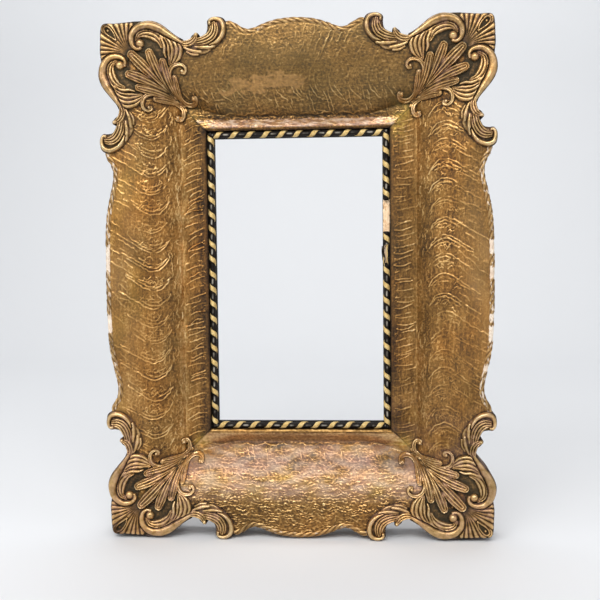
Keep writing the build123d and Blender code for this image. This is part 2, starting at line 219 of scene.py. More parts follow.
# ---------------------------------------------------------------- relief grids
class Relief:
    def __init__(self, a0, a1, b0, b1, step):
        self.step = step
        self.a = np.arange(a0, a1 + step / 2, step)
        self.b = np.arange(b0, b1 + step / 2, step)
        self.A, self.B = np.meshgrid(self.a, self.b, indexing="ij")
        self.z = np.zeros(self.A.shape)
        self.m = np.full(self.A.shape, -6.0)

    def window(self, q, pad):
        lo, hi = q.min(0) - pad, q.max(0) + pad
        i0, i1 = np.searchsorted(self.a, [lo[0], hi[0]])
        j0, j1 = np.searchsorted(self.b, [lo[1], hi[1]])
        return (slice(max(i0 - 1, 0), i1 + 1), slice(max(j0 - 1, 0), j1 + 1))

    def stroke(self, pts, width, height, kind="round", n=9, foot=True, over=False):
        q = curve(pts, n)
        width, height = np.atleast_1d(width).astype(float), np.atleast_1d(height).astype(float)
        sl = self.window(q, width.max() + 3.0)
        A, B = self.A[sl], self.B[sl]
        if A.size == 0:
            return
        d, side, t = nearest(A, B, q)
        w = np.interp(t, np.linspace(0, 1, len(width)), width)
        h = np.interp(t, np.linspace(0, 1, len(height)), height)
        k = np.clip(d / np.maximum(w, 1e-6), 0, 1)
        ins = d < w
        rnd = np.sqrt(np.maximum(1 - k * k, 0))
        if kind == "round":
            f = rnd
        elif kind == "soft":
            f = np.cos(k * np.pi / 2) ** 2
        elif kind == "flute":
            f = rnd * (1 - 0.32 * np.exp(-(k / 0.30) ** 2))
        z = h * f
        self.z[sl] = np.where(ins, z if over else np.maximum(self.z[sl], z), self.z[sl])
        if foot:
            self.m[sl] = np.maximum(self.m[sl], w - d)

    def ball(self, c, r, h, eye=0.0):
        c = np.asarray(c, float)
        sl = self.window(np.array([c, c]), r + 3)
        d = np.hypot(self.A[sl] - c[0], self.B[sl] - c[1])
        k = np.clip(d / r, 0, 1)
        z = h * np.sqrt(np.maximum(1 - k * k, 0)) - eye * np.exp(-(k / 0.35) ** 2)
        self.z[sl] = np.where(d < r, np.maximum(self.z[sl], z), self.z[sl])
        self.m[sl] = np.maximum(self.m[sl], r - d)

    def ground(self, poly, height, edge=1.2):
        """Backing inside a smooth closed outline, rounded at its edge."""
        p = np.asarray(poly, float)
        q = curve(np.vstack([p, p[:1]]), 5)
        d, _, _ = nearest(self.A, self.B, q)
        sd = np.where(inside_poly(self.A, self.B, q), d, -d)
        self.z = np.where(sd > 0, np.maximum(self.z, height * np.sqrt(1 - (1 - np.clip(sd / edge, 0, 1)) ** 2)), self.z)
        self.m = np.maximum(self.m, np.maximum(sd, -6.0))

    def reeds(self, pts, width, height, count, depth=0.42, n=9, over=False):
        """Band of side-by-side reeds that run along it and narrow with it."""
        q = curve(pts, n)
        width, height = np.atleast_1d(width).astype(float), np.atleast_1d(height).astype(float)
        sl = self.window(q, width.max() + 3.0)
        d, side, t = nearest(self.A[sl], self.B[sl], q)
        w = np.interp(t, np.linspace(0, 1, len(width)), width)
        h = np.interp(t, np.linspace(0, 1, len(height)), height)
        v = np.clip(side * d / np.maximum(w, 1e-6), -1, 1)
        prof = np.abs(np.sin(np.pi * count * (v + 1) / 2)) ** 0.62
        z = h * np.sqrt(np.maximum(1 - np.abs(v) ** 5, 0)) * (1 - depth + depth * prof)
        self.z[sl] = np.where(d < w, z if over else np.maximum(self.z[sl], z), self.z[sl])
        self.m[sl] = np.maximum(self.m[sl], w - d)

    def leaflets(self, items, n=10):
        """Round-ended leaflets that meet in grooves and gather at their foot."""
        k1 = np.full(self.A.shape, 9.0)
        k2 = k1.copy()
        z, foot = np.zeros(self.A.shape), np.full(self.A.shape, -6.0)
        for pts, width, height in items:
            q = curve(pts, n)
            sl = self.window(q, np.max(width) + 5.0)
            d, side, t = nearest(self.A[sl], self.B[sl], q)
            w = np.interp(t, np.linspace(0, 1, len(width)), width)
            h = np.interp(t, np.linspace(0, 1, len(height)), height)
            k = d / np.maximum(w, 1e-6)
            kc = np.clip(k, 0, 1)
            grow = smooth(0.18, 0.55, t)
            rim = np.exp(-((kc - 0.78) / 0.15) ** 2)
            ridge = np.exp(-((kc - 0.27) / 0.15) ** 2)
            f = np.sqrt(np.maximum(1 - kc ** 8, 0)) * (0.60 + 0.40 * rim * grow + (0.14 + 0.14 * grow) * ridge)
            new = k < k1[sl]
            k2[sl] = np.where(new, k1[sl], np.minimum(k2[sl], k))
            k1[sl] = np.where(new, k, k1[sl])
            z[sl] = np.where(new, h * f, z[sl])
            foot[sl] = np.maximum(foot[sl], w - d)
        part = 0.58 + 0.42 * smooth(0.0, 0.34, k2 - k1)
        self.z = np.where(k1 < 1, np.maximum(self.z, z * part), self.z)
        self.m = np.maximum(self.m, np.maximum(foot, -6.0))

    def depth_in(self, poly):
        p = np.asarray(poly, float)
        q = curve(np.vstack([p, p[:1]]), 5)
        d, _, _ = nearest(self.A, self.B, q)
        return np.where(inside_poly(self.A, self.B, q), d, -d)


def grid_sample(grid, a, b, a0, b0, step):
    fa, fb = (a - a0) / step, (b - b0) / step
    i = np.clip(np.floor(fa).astype(int), 0, grid.shape[0] - 2)
    j = np.clip(np.floor(fb).astype(int), 0, grid.shape[1] - 2)
    ta, tb = np.clip(fa - i, 0, 1), np.clip(fb - j, 0, 1)
    return (grid[i, j] * (1 - ta) * (1 - tb) + grid[i + 1, j] * ta * (1 - tb)
            + grid[i, j + 1] * (1 - ta) * tb + grid[i + 1, j + 1] * ta * tb)


def relief_mesh(R, top, bottom, attrs, coarse=5.0, wall_in=None, drop_small=0):
    """Closed solid: the grid's surface `top` where R.m > 0, its edge laid on the line R.m = 0, walls,
    and a plainer underside at bottom(a, b). Returns points (a, b, d), faces and attributes."""
    step, m = R.step, R.m
    ga, gb = np.gradient(m, step)
    g2 = np.maximum(ga * ga + gb * gb, 0.15)
    act = m > -0.98 * step
    move = act & (m < 0.25 * step)
    A, B = R.A.copy(), R.B.copy()
    sh = np.where(move, m, 0.0)
    da, db = -sh * ga / g2, -sh * gb / g2
    lim = 1.1 * step
    A += np.clip(da, -lim, lim)
    B += np.clip(db, -lim, lim)
    Z = np.where(move, grid_sample(top, A, B, R.a[0], R.b[0], step), top)
    ia = np.arange(m.size).reshape(m.shape)
    c = [ia[:-1, :-1], ia[1:, :-1], ia[1:, 1:], ia[:-1, 1:]]
    ac = [act[:-1, :-1], act[1:, :-1], act[1:, 1:], act[:-1, 1:]]
    mc = np.maximum.reduce([m[:-1, :-1], m[1:, :-1], m[1:, 1:], m[:-1, 1:]])
    cnt = sum(x.astype(int) for x in ac)
    live = mc > 0.0
    quad = (cnt == 4) & live
    quads = np.stack([x[quad] for x in c], 1)
    tris = []
    for k in range(4):
        tri = (cnt == 3) & live & ~ac[k]
        o = [(k + 1) % 4, (k + 2) % 4, (k + 3) % 4]
        tris.append(np.stack([c[x][tri] for x in o], 1))
    tris = np.vstack(tris)
    used = np.zeros(m.size, bool)
    used[quads.ravel()] = True
    used[tris.ravel()] = True
    new = np.cumsum(used) - 1
    quads, tris = new[quads], new[tris]
    P = np.stack([A.ravel()[used], B.ravel()[used], Z.ravel()[used]], 1)
    vals = {k: v.ravel()[used] for k, v in attrs.items()}
    # boundary edges, in the direction of their faces
    e = np.vstack([quads[:, [0, 1]], quads[:, [1, 2]], quads[:, [2, 3]], quads[:, [3, 0]],
                   tris[:, [0, 1]], tris[:, [1, 2]], tris[:, [2, 0]]])
    key = np.sort(e, 1)
    code = key[:, 0].astype(np.int64) * (len(P) + 1) + key[:, 1]
    _, first, count = np.unique(code, return_index=True, return_counts=True)
    edge = e[first[count == 1]]
    ring = np.unique(edge)
    # underside: constrained triangulation of the same edge over a plain grid of points
    inner = (R.m > 1.2 * coarse * 0.5)
    st = max(1, int(round(coarse / step)))
    pick = np.zeros(m.shape, bool)
    pick[::st, ::st] = True
    pick &= inner
    pa, pb = R.A[pick], R.B[pick]
    idx = {int(v): i for i, v in enumerate(ring)}
    pts2 = [Vector((float(P[v, 0]), float(P[v, 1]))) for v in ring] + [Vector((float(x), float(y))) for x, y in zip(pa, pb)]
    loops = [(idx[int(x)], idx[int(y)]) for x, y in edge]
    out_v, _, out_f, orig, _, _ = delaunay_2d_cdt(pts2, loops, [], 2, 1e-5)
    back = {}
    nb = len(P)
    low = []
    for i, o in enumerate(orig):
        low.append((out_v[i][0], out_v[i][1]))
        for src in o:
            back[src] = nb + i
    low = np.array(low)
    zl = bottom(low[:, 0], low[:, 1])
    faces_low = []
    for f in out_f:
        f = list(f)
        x = [low[k] for k in f]
        area = (x[1][0] - x[0][0]) * (x[2][1] - x[0][1]) - (x[2][0] - x[0][0]) * (x[1][1] - x[0][1])
        if area > 0:
            f = f[::-1]
        faces_low.append([nb + k for k in f])
    P2 = np.column_stack([low, zl])
    if wall_in is not None:
        P2 = wall_in(P2)
    Pall = np.vstack([P, P2])
    walls = np.array([[x1, x0, back[idx[int(x0)]], back[idx[int(x1)]]] for x0, x1 in edge])
    for k in vals:
        vals[k] = np.concatenate([vals[k], np.zeros(len(P2))])
    return dict(P=Pall, quads=np.vstack([quads, walls]), tris=np.vstack([tris, np.array(faces_low)]), vals=vals,
                ntop=len(P))


# ---------------------------------------------------------------- putting meshes into the scene
def stood(P):
    out = np.empty_like(P)
    out[:, 0] = P[:, 0]
    out[:, 1] = Y_BACK - P[:, 2]
    out[:, 2] = HALF_H + P[:, 1]
    return out / 1000.0


def new_mesh(name, P, quads, tris, vals, material, sharp=50):
    """P already in metres in the row frame."""
    me = bpy.data.meshes.new(name)
    quads = np.asarray(quads, np.int32).reshape(-1, 4)
    tris = np.asarray(tris, np.int32).reshape(-1, 3)
    loops = np.concatenate([quads.ravel(), tris.ravel()])
    starts = np.concatenate([np.arange(len(quads)) * 4, len(quads) * 4 + np.arange(len(tris)) * 3])
    me.vertices.add(len(P))
    me.vertices.foreach_set("co", P.astype(np.float32).ravel())
    me.loops.add(len(loops))
    me.loops.foreach_set("vertex_index", loops.astype(np.int32))
    me.polygons.add(len(starts))
    me.polygons.foreach_set("loop_start", starts.astype(np.int32))
    for k, v in vals.items():
        a = me.attributes.new(k, "FLOAT", "POINT")
        a.data.foreach_set("value", np.asarray(v, np.float32))
    me.update(calc_edges=True)
    me.validate(verbose=False)
    me.shade_smooth()
    me.set_sharp_from_angle(angle=math.radians(sharp))
    me.materials.append(material)
    ob = bpy.data.objects.new(name, me)
    bpy.context.scene.collection.objects.link(ob)
    return ob


def put(name, data, material, node, sx=1, sy=1, sharp=50):
    P = data["P"].copy()
    P[:, 0] *= sx
    P[:, 1] *= sy
    q, t = data["quads"], data["tris"]
    if sx * sy < 0:
        q, t = q[:, ::-1], t[:, ::-1]
    ob = new_mesh(name, stood(P), q, t, data["vals"], material, sharp)
    if node:
        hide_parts(*([node] if isinstance(node, str) else node))
    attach(ob, "frame")
    return ob


def tube(path, radius, nseg=14, squash=1.0, up=(0, 0, 1), shape=None):
    """Closed tube along a run of 3-D points; shape(angle, i) scales the radius."""
    p = np.asarray(path, float)
    n = len(p)
    t = np.gradient(p, axis=0)
    t /= np.linalg.norm(t, axis=1)[:, None]
    up = np.asarray(up, float)
    s = np.cross(t, up)
    s /= np.linalg.norm(s, axis=1)[:, None]
    b = np.cross(s, t)
    r = np.broadcast_to(np.asarray(radius, float), (n,))
    ang = np.arange(nseg) * 2 * np.pi / nseg
    R = r[:, None] * np.ones((1, nseg))
    if shape is not None:
        R = R * shape(ang[None, :], np.arange(n)[:, None])
    P = p[:, None, :] + R[..., None] * (np.cos(ang)[None, :, None] * s[:, None, :] + squash * np.sin(ang)[None, :, None] * b[:, None, :])
    P = P.reshape(-1, 3)
    i = np.arange(n - 1)[:, None] * nseg
    j = np.arange(nseg)[None, :]
    jn = (j + 1) % nseg
    quads = np.stack([i + j, i + nseg + j, i + nseg + jn, i + jn], -1).reshape(-1, 4)
    c0, c1 = len(P), len(P) + 1
    P = np.vstack([P, p[0], p[-1]])
    jj = np.arange(nseg)
    jj1 = (jj + 1) % nseg
    last = (n - 1) * nseg
    tris = np.vstack([np.stack([np.full(nseg, c0), jj, jj1], 1), np.stack([np.full(nseg, c1), last + jj1, last + jj], 1)])
    # outward: flip if the signed volume is negative
    tri_all = np.vstack([quads[:, [0, 1, 2]], quads[:, [0, 2, 3]], tris])
    a, bb, cc = P[tri_all[:, 0]], P[tri_all[:, 1]], P[tri_all[:, 2]]
    if np.einsum("ij,ij->", a, np.cross(bb, cc)) < 0:
        quads, tris = quads[:, ::-1], tris[:, ::-1]
    return P, quads, tris


def merge(parts):
    P, Q, T, off = [], [], [], 0
    for p, q, t in parts:
        P.append(p)
        Q.append(np.asarray(q).reshape(-1, 4) + off)
        T.append(np.asarray(t).reshape(-1, 3) + off)
        off += len(p)
    return np.vstack(P), np.vstack(Q), np.vstack(T)


# ---------------------------------------------------------------- materials
def nodes_of(name):
    mat = bpy.data.materials.new(name)
    mat.use_nodes = True
    nt = mat.node_tree
    bsdf = next(n for n in nt.nodes if n.type == "BSDF_PRINCIPLED")
    return mat, nt, bsdf


class Net:
    """Short names for the nodes a material is made of."""

    def __init__(self, nt):
        self.nt = nt

    def new(self, kind, **kw):
        n = self.nt.nodes.new(kind)
        for k, v in kw.items():
            setattr(n, k, v)
        return n

    def link(self, a, b):
        self.nt.links.new(a, b)

    def attr(self, name):
        return self.new("ShaderNodeAttribute", attribute_name=name).outputs["Fac"]

    def coords(self):
        return self.new("ShaderNodeTexCoord").outputs["Object"]

    def noise(self, vec, scale, detail=4.0, rough=0.55, dist=0.0):
        n = self.new("ShaderNodeTexNoise")
        n.inputs["Scale"].default_value = scale
        n.inputs["Detail"].default_value = detail
        n.inputs["Roughness"].default_value = rough
        n.inputs["Distortion"].default_value = dist
        self.link(vec, n.inputs["Vector"])
        return n.outputs["Fac"]

    def stretch(self, vec, x, y, z):
        n = self.new("ShaderNodeMapping")
        n.inputs["Scale"].default_value = (x, y, z)
        self.link(vec, n.inputs["Vector"])
        return n.outputs["Vector"]

    def ramp(self, fac, stops, mode="LINEAR"):
        n = self.new("ShaderNodeValToRGB")
        n.color_ramp.interpolation = mode
        el = n.color_ramp.elements
        while len(el) < len(stops):
            el.new(0.5)
        for e, (pos, col) in zip(el, stops):
            e.position = pos
            e.color = (*col, 1) if len(col) == 3 else col
        self.link(fac, n.inputs["Fac"])
        return n.outputs["Color"]

    def grey(self, fac, stops):
        return self.ramp(fac, [(p, (v, v, v)) for p, v in stops])

    def mix(self, fac, a, b, blend="MIX"):
        n = self.new("ShaderNodeMix", data_type="RGBA", blend_type=blend)
        ins = [s for s in n.inputs if s.type == "RGBA"]
        fsock = next(s for s in n.inputs if s.type == "VALUE" and s.name == "Factor")
        for sock, val in ((fsock, fac), (ins[0], a), (ins[1], b)):
            if isinstance(val, (int, float)):
                sock.default_value = val
            elif isinstance(val, tuple):
                sock.default_value = (*val, 1) if len(val) == 3 else val
            else:
                self.link(val, sock)
        return next(s for s in n.outputs if s.type == "RGBA")

    def math(self, op, a, b=None, clamp=False):
        n = self.new("ShaderNodeMath", operation=op, use_clamp=clamp)
        for sock, val in zip(n.inputs, (a, b)):
            if val is None:
                continue
            if isinstance(val, (int, float)):
                sock.default_value = val
            else:
                self.link(val, sock)
        return n.outputs[0]

    def bump(self, height, strength, distance):
        n = self.new("ShaderNodeBump")
        n.inputs["Strength"].default_value = strength
        n.inputs["Distance"].default_value = distance
        self.link(height, n.inputs["Height"])
        return n.outputs["Normal"]


GILT_FACE = ((0.026, 0.013, 0.005), (0.150, 0.075, 0.021), (0.375, 0.203, 0.060), (0.74, 0.49, 0.205), (0.94, 0.73, 0.41))
GILT_ORN = ((0.010, 0.006, 0.003), (0.100, 0.050, 0.016), (0.315, 0.178, 0.064), (0.69, 0.460, 0.205), (0.90, 0.69, 0.39))


def gilt(name, tones):
    """Antique bronze gilding: painted shade and dark patina in the hollows, painted highlight and rubbed gilt on what
    stands proud.
    """
    mat, nt, b = nodes_of(name)
    n = Net(nt)
    co = n.coords()
    shade_and_wear = n.attr("shade_and_wear")
    big = n.noise(co, 14.0, 3.0, 0.6)
    mid = n.noise(co, 60.0, 4.0, 0.6)
    fine = n.noise(co, 420.0, 4.0, 0.65)
    grain = n.noise(co, 1500.0, 2.0, 0.6)
    # painted shade and highlight of the relief, with wear, broken up by noise
    h = n.math("ADD", shade_and_wear, n.math("MULTIPLY", n.math("SUBTRACT", fine, 0.5), 0.22))
    col = n.ramp(h, list(zip((0.0, 0.26, 0.50, 0.78, 1.0), tones)))
    patina = n.ramp(big, [(0.30, (0.62, 0.60, 0.50)), (0.48, (1.0, 1.0, 1.0)), (0.68, (1.10, 0.96, 0.80))])
    col = n.mix(0.75, col, patina, "MULTIPLY")
    stain = n.grey(mid, [(0.34, 0.62), (0.52, 1.0), (0.75, 1.14)])
    col = n.mix(0.65, col, stain, "MULTIPLY")
    fleck = n.grey(grain, [(0.38, 0.80), (0.55, 1.0), (0.72, 1.25)])
    col = n.mix(0.55, col, fleck, "MULTIPLY")
    # rubbed, pink and yellow places (the pink and pale partly a painted sheen), and places rubbed down to the white
    # ground
    col = n.mix(n.attr("pink"), col, n.mix(0.55, col, (0.50, 0.30, 0.235)))
    col = n.mix(n.attr("yellow"), col, n.mix(0.55, col, (0.62, 0.44, 0.08)))
    col = n.mix(n.attr("pale"), col, n.mix(0.55, col, (0.46, 0.27, 0.105)))
    col = n.mix(n.attr("olive"), col, n.mix(0.6, col, (0.115, 0.085, 0.034)))
    col = n.mix(n.attr("amber"), col, (1.0, 0.90, 0.77), "MULTIPLY")
    chip = n.math("MULTIPLY", n.attr("chip"), n.grey(n.noise(co, 330.0, 3.0, 0.6), [(0.30, 0.55), (0.46, 1.0)]))
    col = n.mix(chip, col, n.ramp(mid, [(0.3, (0.62, 0.46, 0.33)), (0.6, (0.80, 0.70, 0.58))]))
    n.link(col, b.inputs["Base Color"])
    metal = n.grey(h, [(0.05, 0.45), (0.40, 0.78), (0.8, 0.90)])
    metal = n.math("MULTIPLY", metal, n.math("SUBTRACT", 1.0, chip))
    n.link(metal, b.inputs["Metallic"])
    rough = n.math("ADD", n.grey(h, [(0.0, 0.80), (0.4, 0.44), (0.85, 0.32)]), n.math("MULTIPLY", n.math("SUBTRACT", mid, 0.5), 0.25))
    rough = n.math("ADD", rough, n.math("MULTIPLY", chip, 0.35), clamp=True)
    n.link(rough, b.inputs["Roughness"])
    tex = n.math("ADD", n.math("MULTIPLY", fine, 0.7), n.math("MULTIPLY", grain, 0.3))
    n.link(n.bump(tex, 0.35, 0.0006), b.inputs["Normal"])
    return mat


def black_paint():
    mat, nt, b = nodes_of("black_paint_aged")
    n = Net(nt)
    co = n.coords()
    f = n.noise(co, 180.0, 4.0, 0.6)
    g = n.noise(co, 900.0, 2.0, 0.5)
    col = n.ramp(f, [(0.30, (0.005, 0.004, 0.003)), (0.62, (0.012, 0.009, 0.007)), (0.82, (0.070, 0.044, 0.022))])
    n.link(col, b.inputs["Base Color"])
    n.link(n.grey(f, [(0.3, 0.46), (0.7, 0.72)]), b.inputs["Roughness"])
    b.inputs["Specular IOR Level"].default_value = 0.30
    n.link(n.bump(n.math("ADD", f, n.math("MULTIPLY", g, 0.4)), 0.4, 0.0006), b.inputs["Normal"])
    return mat


def thread(name, dark):
    """Cord strand: fine yarns running round it, laid at a slant."""
    mat, nt, b = nodes_of(name)
    n = Net(nt)
    co = n.coords()
    lay = n.attr("lay")
    yarn = n.math("SINE", n.math("MULTIPLY", lay, 6.2832))
    yarn = n.math("ADD", n.math("MULTIPLY", yarn, 0.5), 0.5)
    f = n.noise(co, 260.0, 3.0, 0.6)
    if dark:
        col = n.ramp(f, [(0.3, (0.004, 0.0025, 0.0015)), (0.66, (0.011, 0.007, 0.0045)), (0.85, (0.04, 0.028, 0.018))])
        # painted glint on the crest of the black cord
        col = n.mix(n.attr("painted_crest_glint"), col, (0.46, 0.42, 0.35))
        n.link(n.grey(yarn, [(0.0, 0.50), (1.0, 0.30)]), b.inputs["Roughness"])
        b.inputs["Specular IOR Level"].default_value = 0.14
    else:
        base = n.ramp(f, [(0.28, (0.54, 0.34, 0.10)), (0.52, (0.82, 0.58, 0.22)), (0.75, (0.95, 0.80, 0.43))])
        col = n.mix(n.grey(yarn, [(0.0, 0.62), (0.5, 0.1)]), base, (0.20, 0.12, 0.035))
        b.inputs["Metallic"].default_value = 0.35
        n.link(n.grey(yarn, [(0.0, 0.62), (1.0, 0.40)]), b.inputs["Roughness"])
    n.link(col, b.inputs["Base Color"])
    n.link(n.bump(yarn, 0.5, 0.0003), b.inputs["Normal"])
    return mat


def wood(name, along, light, dark, scale=1.0):
    mat, nt, b = nodes_of(name)
    n = Net(nt)
    co = n.coords()
    sc = {"x": (9, 90, 110), "z": (110, 90, 9), "d": (60, 90, 60)}[along]
    v = n.stretch(co, *sc)
    grain = n.noise(v, 1.0 * scale, 6.0, 0.62, 0.8)
    fine = n.noise(v, 7.0, 3.0, 0.6)
    wear = n.noise(co, 11.0, 4.0, 0.6)
    col = n.ramp(grain, [(0.30, dark), (0.50, tuple((p + q) / 2 for p, q in zip(light, dark))), (0.72, light)])
    col = n.mix(0.7, col, n.grey(wear, [(0.30, 0.55), (0.55, 1.0), (0.8, 1.1)]), "MULTIPLY")
    col = n.mix(0.35, col, n.grey(fine, [(0.3, 0.7), (0.6, 1.1)]), "MULTIPLY")
    n.link(col, b.inputs["Base Color"])
    n.link(n.grey(grain, [(0.3, 0.82), (0.7, 0.62)]), b.inputs["Roughness"])
    n.link(n.bump(n.math("ADD", grain, n.math("MULTIPLY", fine, 0.5)), 0.35, 0.0008), b.inputs["Normal"])
    return mat


def metal(name, light, dark, rough, spots):
    mat, nt, b = nodes_of(name)
    n = Net(nt)
    co = n.coords()
    f = n.noise(co, 160.0, 5.0, 0.62)
    g = n.noise(n.stretch(co, 1.0, 1.0, 14.0), 240.0, 3.0, 0.5)
    col = n.ramp(f, [(0.30, dark), (0.52, light), (0.80, tuple(min(1.0, c * 1.2) for c in light))])
    col = n.mix(n.grey(n.noise(co, 75.0, 5.0, 0.7), [(0.60, 0.0), (0.74, spots)]), col, (0.09, 0.045, 0.02))
    n.link(col, b.inputs["Base Color"])
    b.inputs["Metallic"].default_value = 0.95
    n.link(n.math("ADD", n.grey(f, [(0.3, rough + 0.16), (0.7, rough)]), n.math("MULTIPLY", n.math("SUBTRACT", g, 0.5), 0.2)), b.inputs["Roughness"])
    n.link(n.bump(g, 0.15, 0.0003), b.inputs["Normal"])
    return mat


MAT_FACE = gilt("gilt_face_antique", GILT_FACE)
MAT_ORN = gilt("gilt_ornament_antique", GILT_ORN)
MAT_BLACK = black_paint()
MAT_GOLDYARN = thread("rope_gold_yarn", False)
MAT_BLACKYARN = thread("rope_black_yarn", True)
MAT_WOOD_X = wood("bare_wood_x", "x", (0.42, 0.27, 0.14), (0.19, 0.10, 0.045))
MAT_WOOD_Z = wood("bare_wood_z", "z", (0.42, 0.27, 0.14), (0.19, 0.10, 0.045))
MAT_KEY = wood("key_wood", "d", (0.24, 0.13, 0.06), (0.10, 0.05, 0.02))
MAT_STEEL = metal("screw_steel_dull", (0.42, 0.40, 0.37), (0.17, 0.15, 0.13), 0.34, 0.8)
MAT_ZINC = metal("button_zinc_dull", (0.40, 0.39, 0.37), (0.20, 0.19, 0.18), 0.42, 0.7)
MAT_BRASS = metal("hanger_brass_dull", (0.52, 0.36, 0.14), (0.22, 0.13, 0.05), 0.33, 0.5)

MAT_GROUND, _nt, _b = nodes_of("bare_ground")
_n = Net(_nt)
_co = _n.coords()
_f = _n.noise(_co, 130.0, 5.0, 0.65)
_n.link(_n.ramp(_f, [(0.30, (0.46, 0.24, 0.10)), (0.45, (0.86, 0.60, 0.36)), (0.70, (0.96, 0.77, 0.55))]), _b.inputs["Base Color"])
_n.link(_n.grey(_f, [(0.3, 0.9), (0.7, 0.7)]), _b.inputs["Roughness"])
_n.link(_n.bump(_n.noise(_co, 500.0, 4.0, 0.6), 0.5, 0.0006), _b.inputs["Normal"])


# ---------------------------------------------------------------- rail faces with pressed relief
FACE_STEP = 0.66
STRETCH = {"right": 0, "top": 1, "left": 2, "bottom": 3}


def to_xy(rail, s, a):
    if rail == "right":
        return SIGHT_U + s, a
    if rail == "top":
        return -a, SIGHT_V + s
    if rail == "left":
        return -(SIGHT_U + s), -a
    return a, -(SIGHT_V + s)


ARC = [(105, -19), (97.5, -14.5), (90, -10), (83, -5.6), (76.5, -1.2), (70.5, 2.8), (64.5, 5.0), (58.5, 4.2), (53.5, 0.6), (50, -4), (47.5, -9)]


def pressed_pattern(R, rail, seed):
    """Garland motifs repeating along the rail, as pressed from a roller, with worn and broken lines."""
    rng = np.random.default_rng(seed)
    side = rail in ("left", "right")
    reach = 245.0 if side else 190.0
    period = 19.0

    def out(v):
        return v if side else VALLEY_TOP + (v - VALLEY_SIDE) * 1.245

    def line(pts, w, h, jit=0.20, step=2.3, broken=0.10):
        q, _ = resample(curve(pts, 5), step)
        q = q + rng.normal(0, jit, q.shape)
        k = len(q)
        r = np.convolve(np.pad(rng.random(k), 2, mode="edge"), [0.1, 0.25, 0.3, 0.25, 0.1], "valid")
        hh = h * (0.35 + 1.25 * r)
        gap = rng.random(k) < broken
        gap[1:] |= gap[:-1]
        hh = hh * np.where(gap, 0.12, 1.0)
        R.stroke(q, w * (0.85 + 0.35 * rng.random(k)), hh, "soft", n=3, foot=False)

    a = -reach
    while a < reach:
        a0 = a + rng.normal(0, 0.9)
        amp = 0.70 + 0.45 * rng.random()
        # garland lines from the rim down over the nest and back
        for off, h, c0, c1 in ((0.0, 1.0, int(rng.integers(0, 4)), 11), (-3.4, 0.8, int(rng.integers(1, 5)), 10), (-6.8, 0.6, 4, 9)):
            bend = rng.normal(0, 0.06)
            pts = [(out(x), a0 + y * (1.0 + 0.03 * off) + off + bend * (x - 70)) for x, y in ARC[c0:c1]]
            line(pts, 0.95, h * amp, 0.34, 2.9)
        for off in (-6.5, -13.0):
            k, c0 = int(rng.integers(3, 6)), int(rng.integers(0, 2))
            bend = rng.normal(0, 0.10)
            pts = [(out(x), a0 + y + off + rng.normal(0, 0.9) + bend * (x - 90)) for x, y in ARC[c0:k]]
            if len(pts) > 1:
                line(pts, 0.90, 0.85 * amp * rng.uniform(0.3, 1.0), 0.40, 2.9, 0.16)
        # nest: small arches and scribbles
        for r0, h in ((8.5, 0.7), (4.8, 0.7)):
            pts = [(out(63.5 - r0 * math.cos(t)), a0 - 6.5 + 1.05 * r0 * math.sin(t)) for t in (0.1, 0.7, 1.4, 2.1, 2.8)]
            line(pts, 0.75, h * amp * rng.uniform(0.4, 1.0), 0.35)
        for _ in range(8):
            cx, cy = rng.uniform(54, 74), a0 + rng.uniform(-10.0, 0.0)
            th = rng.uniform(-0.9, 0.9)
            n = int(rng.integers(3, 6))
            pts = [(out(cx + 1.6 * i * math.cos(th)), cy + 1.6 * i * math.sin(th) + rng.normal(0, 0.9)) for i in range(n)]
            line(pts, 0.62, 0.85 * amp, 0.2, 1.2, 0.05)
        # wrinkles down the flank, along the rail
        for _ in range(10):
            s0, y0 = rng.uniform(36.5, 50), a0 + rng.uniform(-10, 10)
            ln = rng.uniform(3, 9)
            pts = [(out(s0), y0), (out(s0 + rng.normal(0, 0.9)), y0 + ln * 0.4), (out(s0 + rng.normal(0, 0.7)), y0 + ln)]
            line(pts, 0.65, 0.7 * rng.uniform(0.4, 1.0), 0.2)
        # ridges across the inner band on the sides, up out of the valley on top and bottom
        if side:
            lean0 = {"right": 3.0, "left": 6.0}[rail]
            y0 = a0
            while y0 < a0 + period - 2.0:
                lean = lean0 + rng.normal(0, 1.2)
                s0, s1 = rng.uniform(12.5, 16), rng.uniform(28.5, 34.5)
                bow = rng.normal(-0.8, 0.7)
                w0 = rng.uniform(0, 6)
                pts = [(s0 + (s1 - s0) * t, y0 + lean * t + bow * math.sin(math.pi * t) + 0.35 * math.sin(5 * t + w0)) for t in (0.0, 0.2, 0.4, 0.6, 0.8, 1.0)]
                line(pts, rng.uniform(0.75, 1.05), rng.uniform(0.5, 1.25), 0.20, 2.8, 0.07)
                for _ in range(2):
                    c0, cy = rng.uniform(12, 18), y0 + rng.uniform(-2.5, 2.5)
                    line([(c0, cy), (c0 + rng.uniform(0.8, 2.2), cy + rng.normal(0.3, 0.8))], 0.6, rng.uniform(0.3, 0.8), 0.1, 0.8, 0.0)
                y0 += rng.uniform(4.2, 8.6)
        else:
            for dy in (0.0, 3.4):
                y0 = a0 + dy + rng.normal(0, 0.7)
                pts = [(VALLEY_TOP + t, y0 + 0.26 * t + rng.normal(0, 0.4)) for t in (4, 8, 13, 18, 22)]
                line(pts, 0.8, rng.uniform(0.5, 1.0), 0.3, 2.2, 0.15)
        a += period
    # scalloped ridge where the band meets the swell on top and bottom
    if not side:
        aa = np.arange(-112, 112.1, 2.4)
        pts = [(VALLEY_TOP + 0.8 + 2.2 * abs(math.sin(math.pi * t / period)) + rng.normal(0, 0.3), t) for t in aa]
        R.stroke(pts, 0.9, 1.0 * (0.4 + 0.9 * rng.random(30)), "soft", n=3, foot=False)


